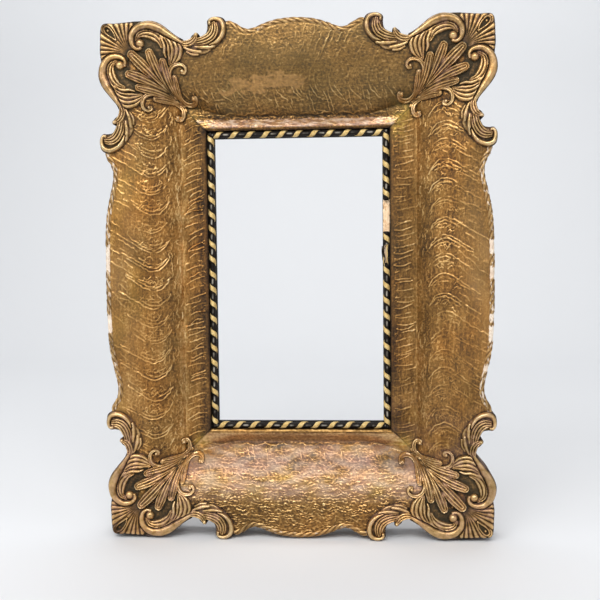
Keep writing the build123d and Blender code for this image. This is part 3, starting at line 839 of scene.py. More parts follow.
def wrinkles(R, seed, count, s_range, half, along, length, width, height):
    """Short wavy creases of the paint; along = 1 runs with the rail."""
    rng = np.random.default_rng(seed)
    for _ in range(count):
        s0 = rng.uniform(*s_range)
        a0 = rng.uniform(-(half + s0), half + s0)
        ln = rng.uniform(*length)
        th = rng.normal(0, 0.28) + (math.pi / 2 if along else 0.0)
        n = max(3, int(ln / 1.5))
        w = np.cumsum(rng.normal(0, 0.55, n))
        t = np.linspace(-0.5, 0.5, n) * ln
        q = np.column_stack([s0 + t * math.cos(th) - w * math.sin(th), a0 + t * math.sin(th) + w * math.cos(th)])
        h = rng.uniform(*height)
        hh = h * np.sin(np.linspace(0.35, math.pi - 0.35, n))
        R.stroke(q, rng.uniform(*width), hh, "soft", n=3, foot=False)


def resample(q, step):
    d = np.hypot(*np.diff(q, axis=0).T)
    cum = np.concatenate([[0], np.cumsum(d)])
    n = max(int(cum[-1] / step) + 1, 2)
    t = np.linspace(0, cum[-1], n)
    return np.column_stack([np.interp(t, cum, q[:, 0]), np.interp(t, cum, q[:, 1])]), t


def face_piece(rail, seed):
    side = rail in ("left", "right")
    half = (SIGHT_V if side else SIGHT_U)
    smax = 113.5 if side else 118.5
    R = Relief(CHANNEL_S - 1.2, smax, -(half + smax), half + smax, FACE_STEP)
    S, A = R.A, R.B
    X, Y = to_xy(rail, S, A)
    edge_in = outline_in(X, Y)
    mitre_in = (half + S - np.abs(A)) / math.sqrt(2) - 0.06
    R.m = np.minimum(np.minimum(edge_in, mitre_in), S - CHANNEL_S)
    R.m = np.maximum(R.m, -6.0)
    base = face_height(X, Y)

    pressed_pattern(R, rail, seed)
    pat = R.z.copy()
    R.z = np.zeros_like(pat)
    if rail == "bottom":
        wrinkles(R, seed + 5, 500, (26.5, 112), half, 1, (3, 8), (0.5, 0.85), (0.3, 0.7))
        wrinkles(R, seed + 7, 300, (13, 23.5), half, 1, (2, 7), (0.4, 0.65), (0.12, 0.35))
    elif rail == "top":
        wrinkles(R, seed + 5, 1500, (25.5, 113), half, 1, (2, 5), (0.4, 0.65), (0.15, 0.42))
        wrinkles(R, seed + 6, 900, (25.5, 113), half, 0, (2, 5), (0.4, 0.65), (0.15, 0.42))
        wrinkles(R, seed + 7, 420, (12.5, 24), half, 1, (2, 8), (0.45, 0.8), (0.2, 0.7))
        wrinkles(R, seed + 8, 160, (12.5, 24), half, 0, (2, 6), (0.45, 0.7), (0.2, 0.6))
    else:
        wrinkles(R, seed + 5, 2200, (35.5, 107), half, 1, (2, 7), (0.4, 0.65), (0.12, 0.40))
        wrinkles(R, seed + 6, 900, (35.5, 107), half, 0, (2, 4), (0.4, 0.6), (0.12, 0.36))
        wrinkles(R, seed + 7, 500, (14, 35), half, 1, (2, 7), (0.4, 0.6), (0.10, 0.30))
    crease = R.z
    n1, n2, n3 = noise_maker(seed + 1), noise_maker(seed + 2), noise_maker(seed + 3)
    # how well the pattern has survived
    keep = 0.80 + 0.55 * fbm(n1, X / 60.0, Y / 60.0, 3)
    if side:
        keep = keep * (0.58 + 0.42 * smooth(-200, 40, Y))
    if rail == "left":
        keep = keep * 1.20
    if rail == "top":
        keep = keep * (0.20 + 0.55 * smooth(74, 94, S) + 0.55 * (1 - smooth(44, 54, S)))
    if rail == "bottom":
        keep = keep * (0.22 + 0.55 * (1 - smooth(34, 42, S)))
    patch = np.zeros_like(S)
    if rail == "top":
        px, py = X + 11 * n2(X / 16, Y / 9) + 4 * n1(X / 5, Y / 4), Y + 5.5 * n3(X / 13, Y / 9) + 2.2 * n2(X / 3.4, Y / 2.6)
        low = np.sqrt(((px + 30) / 37) ** 2 + ((py - 198.5 - 0.08 * (px + 30)) / 8.5) ** 2)
        arm = np.sqrt(((px + 62) / 14) ** 2 + ((py - 192.5) / 4.0) ** 2)
        patch = smooth(1.10, 0.93, np.minimum(low, arm)) * np.clip(0.86 + 0.5 * n1(X / 9, Y / 3.5), 0.35, 1)
        keep = keep * (1 - 0.7 * patch)
        crease = crease * (1 - 0.6 * patch)
    keep = np.clip(keep, 0.12, 1.25)
    if rail == "bottom":
        # wavy creases running with the rail, breaking off and joining
        wave = Y / 3.0 + 0.95 * n1(X / 11.0, Y / 9.0) + 0.50 * n2(X / 4.0, Y / 4.0) + 0.18 * n3(X / 1.8, Y / 1.8)
        ridge = np.clip(np.sin(2 * np.pi * wave), 0, 1) ** 1.4
        ridge = ridge * smooth(-0.38, 0.12, n3(X / 7.5 + 3, Y / 3.4))
        ridge = ridge * smooth(24, 30, S) * (0.36 + 0.44 * smooth(44, 72, S) - 0.25 * smooth(88, 104, S)) * (1 + 0.5 * n2(X / 25, Y / 18))
        crease = np.maximum(crease * 0.8, 0.95 * ridge)
    rel = np.maximum(pat * keep, crease)
    # soft lumps of the casting, fine streaks along the rail
    rel = rel + 0.34 * fbm(n2, X / 24.0, Y / 24.0, 2) + 0.09 * fbm(n3, X / 3.0, Y / 3.0, 2)
    sx, sy = (0.9, 7.0) if side else (7.0, 0.9)
    rel = rel + 0.07 * n1(X / sx, Y / sy) + 0.05 * n3(X / sx * 1.9, Y / sy * 1.9)
    lip = smooth(CHANNEL_S + 0.4, CHANNEL_S + 3.4, S)
    rel = rel * (0.30 + 0.70 * lip)
    rel = rel * smooth(0.0, 4.0, edge_in)

    top = base + rel
    # rounded lip, rounded outer rim, hairline at the mitre
    top = top - 1.4 * (1 - smooth(0, 1.8, S - CHANNEL_S))
    rr = 5.0
    e = np.clip(edge_in, 0, rr) / rr
    top = top - 3.6 * (1 - np.sqrt(np.maximum(1 - (1 - e) ** 2, 0)))
    top = top - 0.45 * (1 - smooth(0, 0.9, mitre_in)) * smooth(0, 8, edge_in)

    # painted shade in the creases and painted highlight on the ridges of the relief
    fine = (rel - blur(rel, 1.4 / FACE_STEP)) / 0.34
    broad = (rel - blur(rel, 4.0 / FACE_STEP)) / 0.60
    shade_and_wear = 0.455 + 0.30 * np.tanh(fine) + 0.17 * np.tanh(broad)
    shade_and_wear = shade_and_wear + (0.12 if side else 0.19) * fbm(n1, X / 2.7 + 5, Y / 2.3, 2)
    if side:
        shade_and_wear = shade_and_wear + 0.13 * fbm(n2, X / 15.0 + 3, Y / 44.0, 2)
    # by the valley: painted shade on top and bottom, painted light on the sides; along the lip on the sides: darker
    vall = np.where(side, VALLEY_SIDE, VALLEY_TOP + (VALLEY_SIDE - VALLEY_TOP) * (1 - smooth(0, 30, mitre_in)))
    shade_and_wear = shade_and_wear - {"left": -0.21, "right": -0.10, "top": 0.08, "bottom": 0.05}[rail] * np.exp(-((S - vall - 2.0) / 4.5) ** 2)
    if side:
        shade_and_wear = shade_and_wear - (0.23 if rail == "left" else 0.15) * (1 - smooth(14, 25, S))
    sx, sy = (1.0, 15.0) if side else (15.0, 1.0)
    shade_and_wear = shade_and_wear + 0.075 * n2(X / sx, Y / sy) + 0.06 * n3(X / (3.4 * sx), Y / (3.0 * sy))
    # top rail: painted light on the upward-facing band, with dark crackle spots on it; painted shade on the swell,
    # along the ragged valley edge and at the lip
    if rail == "top":
        shade_and_wear = shade_and_wear + (0.16 - 0.14 * np.clip(-0.1 + 1.8 * n1(X / 13, Y / 4), 0, 2)) * smooth(12.6, 14.2, S) * (1 - smooth(19.5, 21, S))
        shade_and_wear = shade_and_wear - 0.26 * (1 - smooth(0.0, 0.09, np.abs(n3(X / 7.0 + 2, Y / 5.0)))) * (1 - smooth(19.5, 21.5, S))
        shade_and_wear = shade_and_wear - 0.05 * smooth(22, 26, S)
        rag = S + 1.4 * n2(X / 7, Y / 5) + 0.6 * n3(X / 2.2, Y / 2.2)
        shade_and_wear = shade_and_wear - 0.22 * smooth(19.8, 21.2, rag) * (1 - smooth(23.5, 27.0, S))
        shade_and_wear = shade_and_wear - 0.12 * (1 - smooth(12.8, 14.4, S))
    if rail == "bottom":
        # bottom rail: painted highlight as a thin line on the lip, on the band, the mid-swell and the inner corners;
        # painted shade in the valley and on the upper swell; darker towards the rim
        shade_and_wear = shade_and_wear + 0.20 * (1 - smooth(20, 24, S)) - 0.30 * smooth(10.4, 11.0, S) * (1 - smooth(12.2, 13.2, S)) - 0.06 * smooth(23, 27, S) * (1 - smooth(38, 46, S))
        shade_and_wear = shade_and_wear - 0.07 * np.exp(-((S - 23.4) / 2.0) ** 2) - 0.10 * np.exp(-((S - 26.5) / 2.5) ** 2) - 0.17 * smooth(32, 40, S) * (1 - smooth(46, 56, S))
        shade_and_wear = shade_and_wear + 0.02 * np.exp(-((S - 62) / 12) ** 2) - 0.05 * smooth(74, 92, S)
        shade_and_wear = shade_and_wear + 0.55 * np.exp(-(((np.abs(X) - 102) / 10) ** 2 + ((np.abs(Y) - 172) / 6.5) ** 2)) * np.clip(0.7 + 1.2 * n3(X / 4, Y / 3), 0, 1.3)
    shade_and_wear = shade_and_wear - 0.16 * (1 - smooth(0.2, 1.2, S - CHANNEL_S))
    shade_and_wear = shade_and_wear - 0.30 * np.exp(-(mitre_in / 0.8) ** 2) * smooth(0, 8, edge_in)
    # painted shade on the face next to the ornament and in the pockets between the pieces
    near = grid_sample(ORN_M, np.abs(X), np.abs(Y), 58.0, 116.0, ORN_STEP)
    near = np.where((np.abs(X) > 58) & (np.abs(Y) > 116), near, -6.0)
    shade_and_wear = shade_and_wear - 0.34 * np.exp(np.minimum(near, 0) / 1.5)
    shade_pocket = grid_sample(ORN_SHADE_POCKET, np.abs(X), np.abs(Y), 58.0, 116.0, ORN_STEP)
    shade_and_wear = shade_and_wear - 0.35 * np.where((np.abs(X) > 58) & (np.abs(Y) > 116), shade_pocket, 0.0)
    shade_and_wear = np.clip(shade_and_wear, 0.0, 1.0)

    zero = np.zeros_like(S)
    pink, yellow, pale, olive = zero.copy(), zero.copy(), 0.9 * patch, zero.copy()
    spot = 0.5 + 0.9 * fbm(n3, X / 26.0, Y / 15.0, 3)
    if rail == "top":
        # pink band: pink-cream tone, partly a painted sheen of the light on the upward-facing band
        band = smooth(11, 13, S) * (1 - smooth(19.4, 21.0, rag))
        pink = 0.90 * band * np.clip(spot + 0.45, 0, 1) * smooth(3, 11, mitre_in + 5 * n1(X / 5, Y / 5))
        olive = 0.80 * smooth(21, 28, S) * (1 - patch) * np.clip(0.75 + 0.5 * n1(X / 40, Y / 30), 0, 1)
        wear = 0.42 * band * np.clip(0.35 + 1.6 * n1(X / 9 + 4, Y / 3), 0, 1)
    if rail == "bottom":
        # pink and pale on the bottom swell and band: pink-cream tone, partly a painted sheen
        zone = smooth(23, 29, S) * (1 - smooth(62, 84, S))
        pink = 0.85 * zone * np.clip(spot + 0.30, 0, 1)
        yellow = 0.45 * zone * np.clip(-0.05 + 1.2 * n1(X / 30, Y / 18), 0, 1)
        pink = np.maximum(pink, 0.45 * smooth(12, 14, S) * (1 - smooth(22, 26, S)))
        pale = 0.40 * zone * np.clip(0.45 + 1.0 * n2(X / 34, Y / 12), 0, 1)
    inner = np.exp(-(((np.abs(X) - 106) / 10) ** 2 + ((np.abs(Y) - 172) / 10) ** 2))
    yellow = np.clip(yellow + np.where((Y < 0) | (X > 0), 0.85, 0.30) * inner * np.clip(spot + 0.35, 0, 1), 0, 1)
    if rail == "right":
        # yellow patch with a painted highlight at the inner top corner
        yellow_highlight_spot = np.exp(-(((X - 103) / 8) ** 2 + ((Y - 157) / 13) ** 2)) * np.clip(0.7 + 1.2 * n2(X / 4, Y / 3), 0, 1.3)
        shade_and_wear = shade_and_wear + 0.22 * yellow_highlight_spot
        yellow = np.clip(yellow + 0.8 * yellow_highlight_spot, 0, 1)
        olive = 0.35 * np.clip(0.5 + n1(X / 40, Y / 70), 0, 1) * smooth(-60, 60, Y)
        pink = 0.30 * smooth(-90, -200, Y) * np.clip(spot, 0, 1)
        pale = 0.95 * smooth(70, 94, S) * np.exp(-((Y - 5) / 74) ** 2) * np.clip(0.75 + 0.6 * n2(X / 18, Y / 30), 0, 1)
        # painted shade: the right rail a little darker, most on the flank past the valley at mid height
        shade_and_wear = np.clip(shade_and_wear - 0.03 - 0.09 * np.exp(-((S - 42) / 9) ** 2 - ((Y - 4) / 38) ** 2), 0, 1)
        olive = np.clip(olive + 0.45 * np.exp(-(((X - 158) / 26) ** 2 + ((Y + 104) / 36) ** 2)), 0, 1)
    if rail == "left":
        pale = 0.55 * smooth(62, 92, S) * np.clip(0.55 + 0.8 * n2(X / 22, Y / 44), 0, 1)
        olive = 0.75 * np.exp(-(((X + 130) / 9) ** 2 + ((Y + 66) / 26) ** 2)) * np.clip(0.7 + n2(X / 9, Y / 14), 0, 1)
        yellow = np.clip(yellow + 0.22 * smooth(0.15, 0.5, n1(X / 35, Y / 60) * 0.8 + 0.2) * smooth(60, 90, S), 0, 1)
    amber, chip = zero, zero
    if rail == "top":
        chip = wear
    if rail == "bottom":
        chip = 0.22 * zone * smooth(4, 16, mitre_in) * np.clip(0.3 + 1.4 * n1(X / 17 + 4, Y / 6), 0, 1)
    if side:
        amber = np.clip((0.25 + 0.40 * smooth(44, 60, S)) * (1.0 + 1.1 * n3(X / 24, Y / 46)), 0, 1)
    attrs = dict(shade_and_wear=shade_and_wear, pink=pink, yellow=yellow, pale=pale, olive=olive, amber=amber, chip=chip)

    def bottom(s, a):
        x, y = to_xy(rail, s, a)
        ei = outline_in(x, y)
        deep = np.maximum(face_height(x, y) - SKIN - 0.2, SKIN_BACK + 0.5)
        near_lip = s < CHANNEL_S + 2.0
        return np.where((ei < 3.1), SKIN_BACK, np.where(near_lip, 12.2, deep))

    data = relief_mesh(R, top, bottom, attrs, coarse=5.0)
    P = data["P"]
    x, y = to_xy(rail, P[:, 0], P[:, 1])
    data["P"] = np.column_stack([x, y, P[:, 2]])
    put("%s_face_relief" % rail, data, MAT_FACE, "%s_face" % rail, sharp=55)


# ---------------------------------------------------------------- corner and edge ornament
# Laid out on a board 5 units to the millimetre: first number in from the side, second down from the top.
# One half is drawn; the other is its mirror image over the mitre.
def P5(pts):
    p = np.asarray(pts, float).reshape(-1, 2)
    return np.column_stack([202.0 - p[:, 0] / 5.0, 268.0 - p[:, 1] / 5.0])


def flip5(pts):
    p = np.asarray(pts, float).reshape(-1, 2)
    return np.column_stack([p[:, 1] - 13.0, p[:, 0] + 13.0])


def both(fn):
    fn(lambda p: P5(p))
    fn(lambda p: P5(flip5(p)))


ORN_STEP = 0.42


def ornament_grid(u0, u1, v0, v1):
    return Relief(u0, u1, v0, v1, ORN_STEP)


def w5(*v):
    return np.array(v, float) / 5.0


def draw_shell(R):
    # backing plate, low in the two hollows under the rolls
    R.ground(P5([
        (122, 470), (103, 428), (84, 388), (62, 340), (47, 290), (38, 235), (32, 180), (34, 130), (36, 82), (42, 56),
        (56, 44), (110, 44), (165, 40), (232, 36), (292, 44), (340, 62), (390, 92), (430, 118), (458, 138),
        (440, 225), (400, 246), (340, 232), (250, 190), (190, 190), (176, 250), (214, 330), (232, 390), (212, 440), (165, 464),
    ]), 0.9)
    # fan: ribs spreading from the foot of the rolls to the corner
    sd = R.depth_in(P5([(180, 210), (203, 186), (206, 130), (210, 96), (224, 62), (204, 44), (150, 43), (100, 44), (56, 45),
                        (43, 57), (36, 100), (34, 160), (36, 214), (50, 234), (82, 220), (118, 216), (172, 216)]))
    cx, cy = P5([(184, 197)])[0]
    ax, ay = R.A - cx, R.B - cy
    r = np.hypot(ax, ay) * 5.0
    th = np.degrees(np.arctan2(ay - ax, ax + ay))
    th = th * (1 + 0.14 * smooth(150, 40, r))
    side = np.abs(th)
    u = (side - 7.0) / 9.6
    rib = np.abs(np.sin(np.pi * np.clip(u, 0, 6.0))) ** 0.50
    rib = np.where(side < 7.0, np.sqrt(np.maximum(1 - (side / 7.0) ** 2, 0)), rib)
    edge = np.clip((sd - 1.3 * (1 - rib)) / 2.2, 0, 1)
    z = (1.6 + (0.5 + 1.7 * smooth(20, 130, r)) * rib) * np.sqrt(1 - (1 - edge) ** 2)
    R.z = np.where(sd > 0, np.maximum(R.z, z), R.z)
    R.fan = smooth(0.0, 2.0, sd)
    # drop on the mitre of the fan: a loop round a hollow, with a bead in it
    loop = P5([(118, 131), (97, 116), (75, 101), (61, 84), (59, 68), (70, 60), (85, 66), (101, 84), (113, 106), (118, 131)])
    inner = R.depth_in(loop[:-1])
    R.z = np.where(inner > 0, np.minimum(R.z, 1.5), R.z)
    R.stroke(loop, 1.15, 3.9, "round", over=True)
    R.ball(P5([(77, 81)])[0], 1.75, 3.3)

    def scroll(to):
        # reeds on the inner side of the roll
        R.reeds(to([(222, 126), (232, 104), (258, 91), (292, 91), (322, 104), (344, 128), (352, 158)]),
                w5(12, 25, 35, 40, 39, 33, 18), (3.6, 4.2, 4.6, 4.7, 4.6, 4.3, 3.6), 4)
        # hanging reeds, gathered at their foot, with a rolled inner edge
        R.reeds(to([(350, 100), (380, 122), (403, 150), (412, 184), (405, 218), (392, 246)]),
                w5(12, 24, 37, 44, 38, 18), (4.4, 4.8, 4.9, 4.8, 4.4, 3.4), 4)
        R.stroke(to([(340, 120), (355, 142), (362, 168), (360, 194), (366, 216)]), w5(7, 10, 11, 10, 6), (4.0, 4.8, 5.0, 4.6, 3.2), "round")
        # broad roll, out of the volute, over and down to the edge scroll
        R.stroke(to([(240, 171), (219, 172), (201, 157), (194, 130), (200, 100), (221, 75), (255, 61), (295, 61), (336, 77), (376, 103), (413, 127), (447, 148), (474, 160)]),
                 w5(9, 13, 16.5, 19, 21, 23, 25, 25, 22.5, 19, 15, 11, 7),
                 (3.8, 4.4, 4.8, 5.1, 5.2, 5.3, 5.4, 5.4, 5.2, 4.9, 4.4, 3.8, 2.8), "round", over=True)
        R.ball(to([(238, 147)])[0], 4.7, 5.9)

    both(scroll)
    R.z = blur(R.z, 0.5)


def draw_leaf(R):
    items = []

    def half(to):
        items.append((to([(384, 402), (350, 350), (315, 278), (283, 192)]), w5(4, 9, 15, 21, 26, 28.5, 28, 23), (3.4, 3.7, 4.1, 4.5, 4.9, 5.1, 5.1, 4.8)))
        items.append((to([(410, 430), (387, 382), (365, 320), (348, 238)]), w5(4, 8.5, 14, 19.5, 24, 26, 25.5, 21), (3.1, 3.4, 3.7, 4.1, 4.5, 4.7, 4.7, 4.4)))
        items.append((to([(430, 450), (416, 410), (405, 366), (401, 314)]), w5(4, 8, 12, 16, 19, 20, 19, 15), (2.9, 3.1, 3.4, 3.7, 4.0, 4.1, 4.1, 3.8)))

    both(half)
    items.append((P5([(438, 462), (380, 394), (316, 326), (250, 257), (194, 201)]), w5(9, 11, 13, 16, 20.5, 26, 30.5, 31, 25), (3.4, 3.8, 4.2, 4.6, 5.0, 5.2, 5.4, 5.4, 5.1)))

    def tendrils(to):
        # hooked curl beside the leaf, and the tail at its foot
        R.stroke(to([(430, 440), (409, 402), (391, 362), (380, 322), (379, 288), (393, 263), (420, 251), (448, 256), (462, 275), (454, 294), (440, 293)]),
                 w5(6, 8.5, 10, 11, 11.5, 12, 12, 11.5, 10, 8, 6), (2.8, 3.1, 3.4, 3.6, 3.8, 3.9, 3.9, 3.8, 3.7, 3.5, 3.1), "flute", n=8)
        R.ball(to([(444, 284)])[0], 2.3, 4.2)
        R.stroke(to([(418, 392), (427, 416), (447, 434), (474, 437), (496, 425), (497, 406), (483, 405)]), w5(6, 9.5, 12, 13, 12.5, 10, 7), (2.9, 3.3, 3.6, 3.8, 3.8, 3.6, 3.2), "flute", n=8)
        R.ball(to([(484, 414)])[0], 2.2, 4.0)

    both(tendrils)
    R.leaflets(items)
    R.z = blur(R.z, 0.5)


def draw_scroll(R, to):
    R.ground(to([
        (444, 144), (485, 133), (500, 112), (517, 106), (528, 122), (553, 118), (572, 97), (577, 70), (576, 45), (590, 30),
        (607, 25), (640, 26), (660, 36), (672, 62), (664, 104), (646, 146), (606, 178), (575, 200), (545, 208), (500, 204), (470, 192),
    ]), 2.2, edge=2.0)
    # second tuft, ending in a knob
    R.reeds(to([(520, 112), (511, 134), (491, 149), (462, 154), (434, 143)]), w5(10, 18, 20, 18, 8), (4.2, 4.4, 4.3, 3.9, 3.2), 3)
    R.ball(to([(520, 112)])[0], 2.5, 5.0)
    # reeds out of the lobe
    R.reeds(to([(609, 56), (611, 88), (598, 117), (570, 136), (534, 146), (496, 152)]), w5(20, 27, 29, 27, 22, 9), (4.2, 4.6, 4.6, 4.4, 4.0, 3.2), 4)
    # leaf ends, one under the next
    R.stroke(to([(514, 170), (548, 174), (582, 173), (608, 168)]), w5(8, 12, 13, 9.5), (3.5, 4.3, 4.4, 3.9), "round")
    R.stroke(to([(458, 172), (486, 184), (516, 192), (542, 194)]), w5(7, 11, 13, 10), (3.2, 3.9, 4.1, 3.7), "round")
    R.stroke(to([(470, 192), (500, 206), (528, 207)]), w5(5, 8, 7), (2.2, 2.8, 2.6), "round")
    # the roll of the lobe round them
    R.stroke(to([(589, 62), (591, 45), (608, 38), (630, 40), (648, 51), (657, 74), (655, 102), (641, 130), (617, 150), (588, 162)]),
             w5(9, 11.5, 12.5, 13.5, 14.5, 14.5, 14, 12.5, 10.5, 7), (4.5, 5.0, 5.2, 5.3, 5.3, 5.2, 5.0, 4.7, 4.2, 3.4), "round", over=True)
    R.ball(to([(590, 60)])[0], 2.1, 5.0)
    R.z = blur(R.z, 0.5)


def side_layout(p):
    q = P5(flip5(p))
    q[:, 0] = np.where(q[:, 0] > 181, 181 + 0.885 * (q[:, 0] - 181), q[:, 0])
    return q


ORN = {}
for _name in ("shell", "leaf", "end", "side"):
    ORN[_name] = Relief(58.0, 201.0, 116.0, 265.0, ORN_STEP)
draw_shell(ORN["shell"])
draw_leaf(ORN["leaf"])
draw_scroll(ORN["end"], lambda p: P5(p))
draw_scroll(ORN["side"], side_layout)
ORN_Z = np.maximum.reduce([np.where(r.m > 0, r.z, 0.0) for r in ORN.values()])
ORN_M = np.maximum.reduce([r.m for r in ORN.values()])
_U, _V = ORN["shell"].A, ORN["shell"].B
_ei = outline_in(_U, _V)
ORN_BASE = np.where(_ei < 0, RIM_D, face_height(_U, _V))
# open air beyond the edge counts as low, so that outer rims get no painted shade
_air = np.where((_ei < 0) & (ORN_M <= 0), 1.2, ORN_Z)
ORN_B1, ORN_B2, ORN_B3 = (blur(_air, k / ORN_STEP) for k in (1.1, 2.6, 6.0))


# painted shade in the hollows shut in between leaf and shell
_shut = blur((ORN_M > 0).astype(float), 3.2 / ORN_STEP)
ORN_SHADE_POCKET = smooth(0.50, 0.78, _shut) * (1 - smooth(1.2, 3.0, ORN_Z))


def finish_ornament(R, seed):
    U, V = R.A, R.B
    nz = noise_maker(seed)
    rel = R.z + (0.14 * fbm(nz, U / 9.0, V / 9.0, 3) + 0.05 * fbm(nz, U / 1.7, V / 1.7, 2)) * smooth(0, 1.5, R.z)
    top = ORN_BASE + rel
    # painted shade in the hollows and painted highlight on the ridges, from the relief against its blurred copies;
    # darker still where the relief is low, on the fan and in the pockets
    soft = blur(R.z, 0.6)
    shade_and_wear = 0.47 + 0.31 * np.tanh((soft - ORN_B1) / 0.5) + 0.11 * np.tanh((soft - ORN_B2) / 1.0) + 0.05 * np.tanh((soft - ORN_B3) / 2.0)
    shade_and_wear = shade_and_wear - 0.12 * (1 - smooth(0.4, 2.2, R.z))
    if R is ORN["shell"]:
        shade_and_wear = shade_and_wear - 0.06 * R.fan * (1 - smooth(3.9, 4.6, R.z))
    if R is ORN["leaf"]:
        shade_and_wear = shade_and_wear + 0.03
    if R is not ORN["leaf"]:
        # painted shade in the deep pockets round the leaf
        shade_and_wear = shade_and_wear - 0.55 * np.exp(np.minimum(ORN["leaf"].m, 0) / 1.2) * (1 - smooth(1.2, 3.0, R.z))
    crumb = fbm(nz, U / 2.4, V / 2.4, 3) * (1 - smooth(1.0, 1.8, R.z))
    top = top + 0.30 * crumb
    shade_and_wear = np.clip(shade_and_wear - 0.10 * ORN_SHADE_POCKET + 0.20 * crumb, 0, 1)
    zero = np.zeros_like(U)
    attrs = dict(shade_and_wear=shade_and_wear, pink=zero, yellow=zero, pale=zero, olive=zero, chip=zero)

    def bottom(a, b):
        ei = outline_in(a, b)
        return np.where(ei < 2.4, SKIN_BACK, face_height(a, b) - 2.2)

    data = relief_mesh(R, top, bottom, attrs, coarse=2.2)
    low = data["P"][data["ntop"]:]
    data["vals"]["shade_and_wear"][data["ntop"]:] = np.where(outline_in(low[:, 0], low[:, 1]) < 2.4, 0.42, 0.0)
    return data


ORN_DATA = {k: finish_ornament(r, 71 + i) for i, (k, r) in enumerate(ORN.items())}
ORN_NODE = {"shell": "corner_shell", "leaf": "corner_leaf", "end": "edge_scroll_end", "side": "edge_scroll_side"}

for _tag, _sx, _sy in (("tr", 1, 1), ("tl", -1, 1), ("br", 1, -1), ("bl", -1, -1)):
    for _kind, _data in ORN_DATA.items():
        _v = dict(_data["vals"])
        _p = _data["P"]
        _nz = noise_maker(400 + 10 * len(_kind) + 3 * _sx + 7 * _sy)
        _w = fbm(_nz, _p[:, 0] / 24.0, _p[:, 1] / 24.0, 3)
        _w2 = fbm(_nz, _p[:, 0] / 5.5 + 9, _p[:, 1] / 5.5, 3)
        # top-corner copies a little darker as painted shade and bottom-corner copies pinker as painted highlight, on
        # top of the mottling
        _v["shade_and_wear"] = np.clip(_v["shade_and_wear"] + 0.10 * _w + 0.13 * _w2 - (0.035 if _sy > 0 else 0.005), 0, 1)
        _dull = {"shell": 0.05, "leaf": 0.12, "end": 0.0, "side": 0.0}[_kind] if _sy > 0 else 0.0
        # the painted-shade pockets: dark olive there, and no pink
        _low = grid_sample(ORN_SHADE_POCKET, _p[:, 0], _p[:, 1], 58.0, 116.0, ORN_STEP)
        _v["olive"] = np.clip(_dull + 0.25 * _w + 0.45 * _low, 0, 1)
        _v["pink"] = np.clip((0.05 if _sy > 0 else 0.18) - 0.4 * _w + 0.5 * _w2, 0, 0.6) * (1 - np.clip(_low, 0, 1))
        if _kind == "shell" and _tag == "tl":
            # worn dark corner tip
            _t = smooth(10.0, 3.0, np.hypot(_p[:, 0] - 194.5, _p[:, 1] - 258.5) + 3.0 * _w)
            _v["shade_and_wear"] = np.clip(_v["shade_and_wear"] * (1 - 0.85 * _t), 0, 1)
        if _kind == "shell" and _tag == "bl":
            _t = smooth(12.0, 4.0, np.hypot(_p[:, 0] - 191, _p[:, 1] - 256) + 3.0 * _w)
            _v["shade_and_wear"] = np.clip(_v["shade_and_wear"] * (1 - 0.6 * _t), 0, 1)
        put("%s_%s_carved" % (ORN_NODE[_kind], _tag), dict(_data, vals=_v), MAT_ORN, "%s_%s" % (ORN_NODE[_kind], _tag), _sx, _sy)


for _rail, _seed in (("right", 11), ("top", 23), ("left", 37), ("bottom", 53)):
    face_piece(_rail, _seed)


# ---------------------------------------------------------------- edge beads: ribbon-wound reed along the rim
CHIPS = {"left": [(13, 37), (-50, -33)], "right": [(27, 40), (2, 13), (-38, -33), (-60, -46), (-90, -84)], "top": [], "bottom": []}


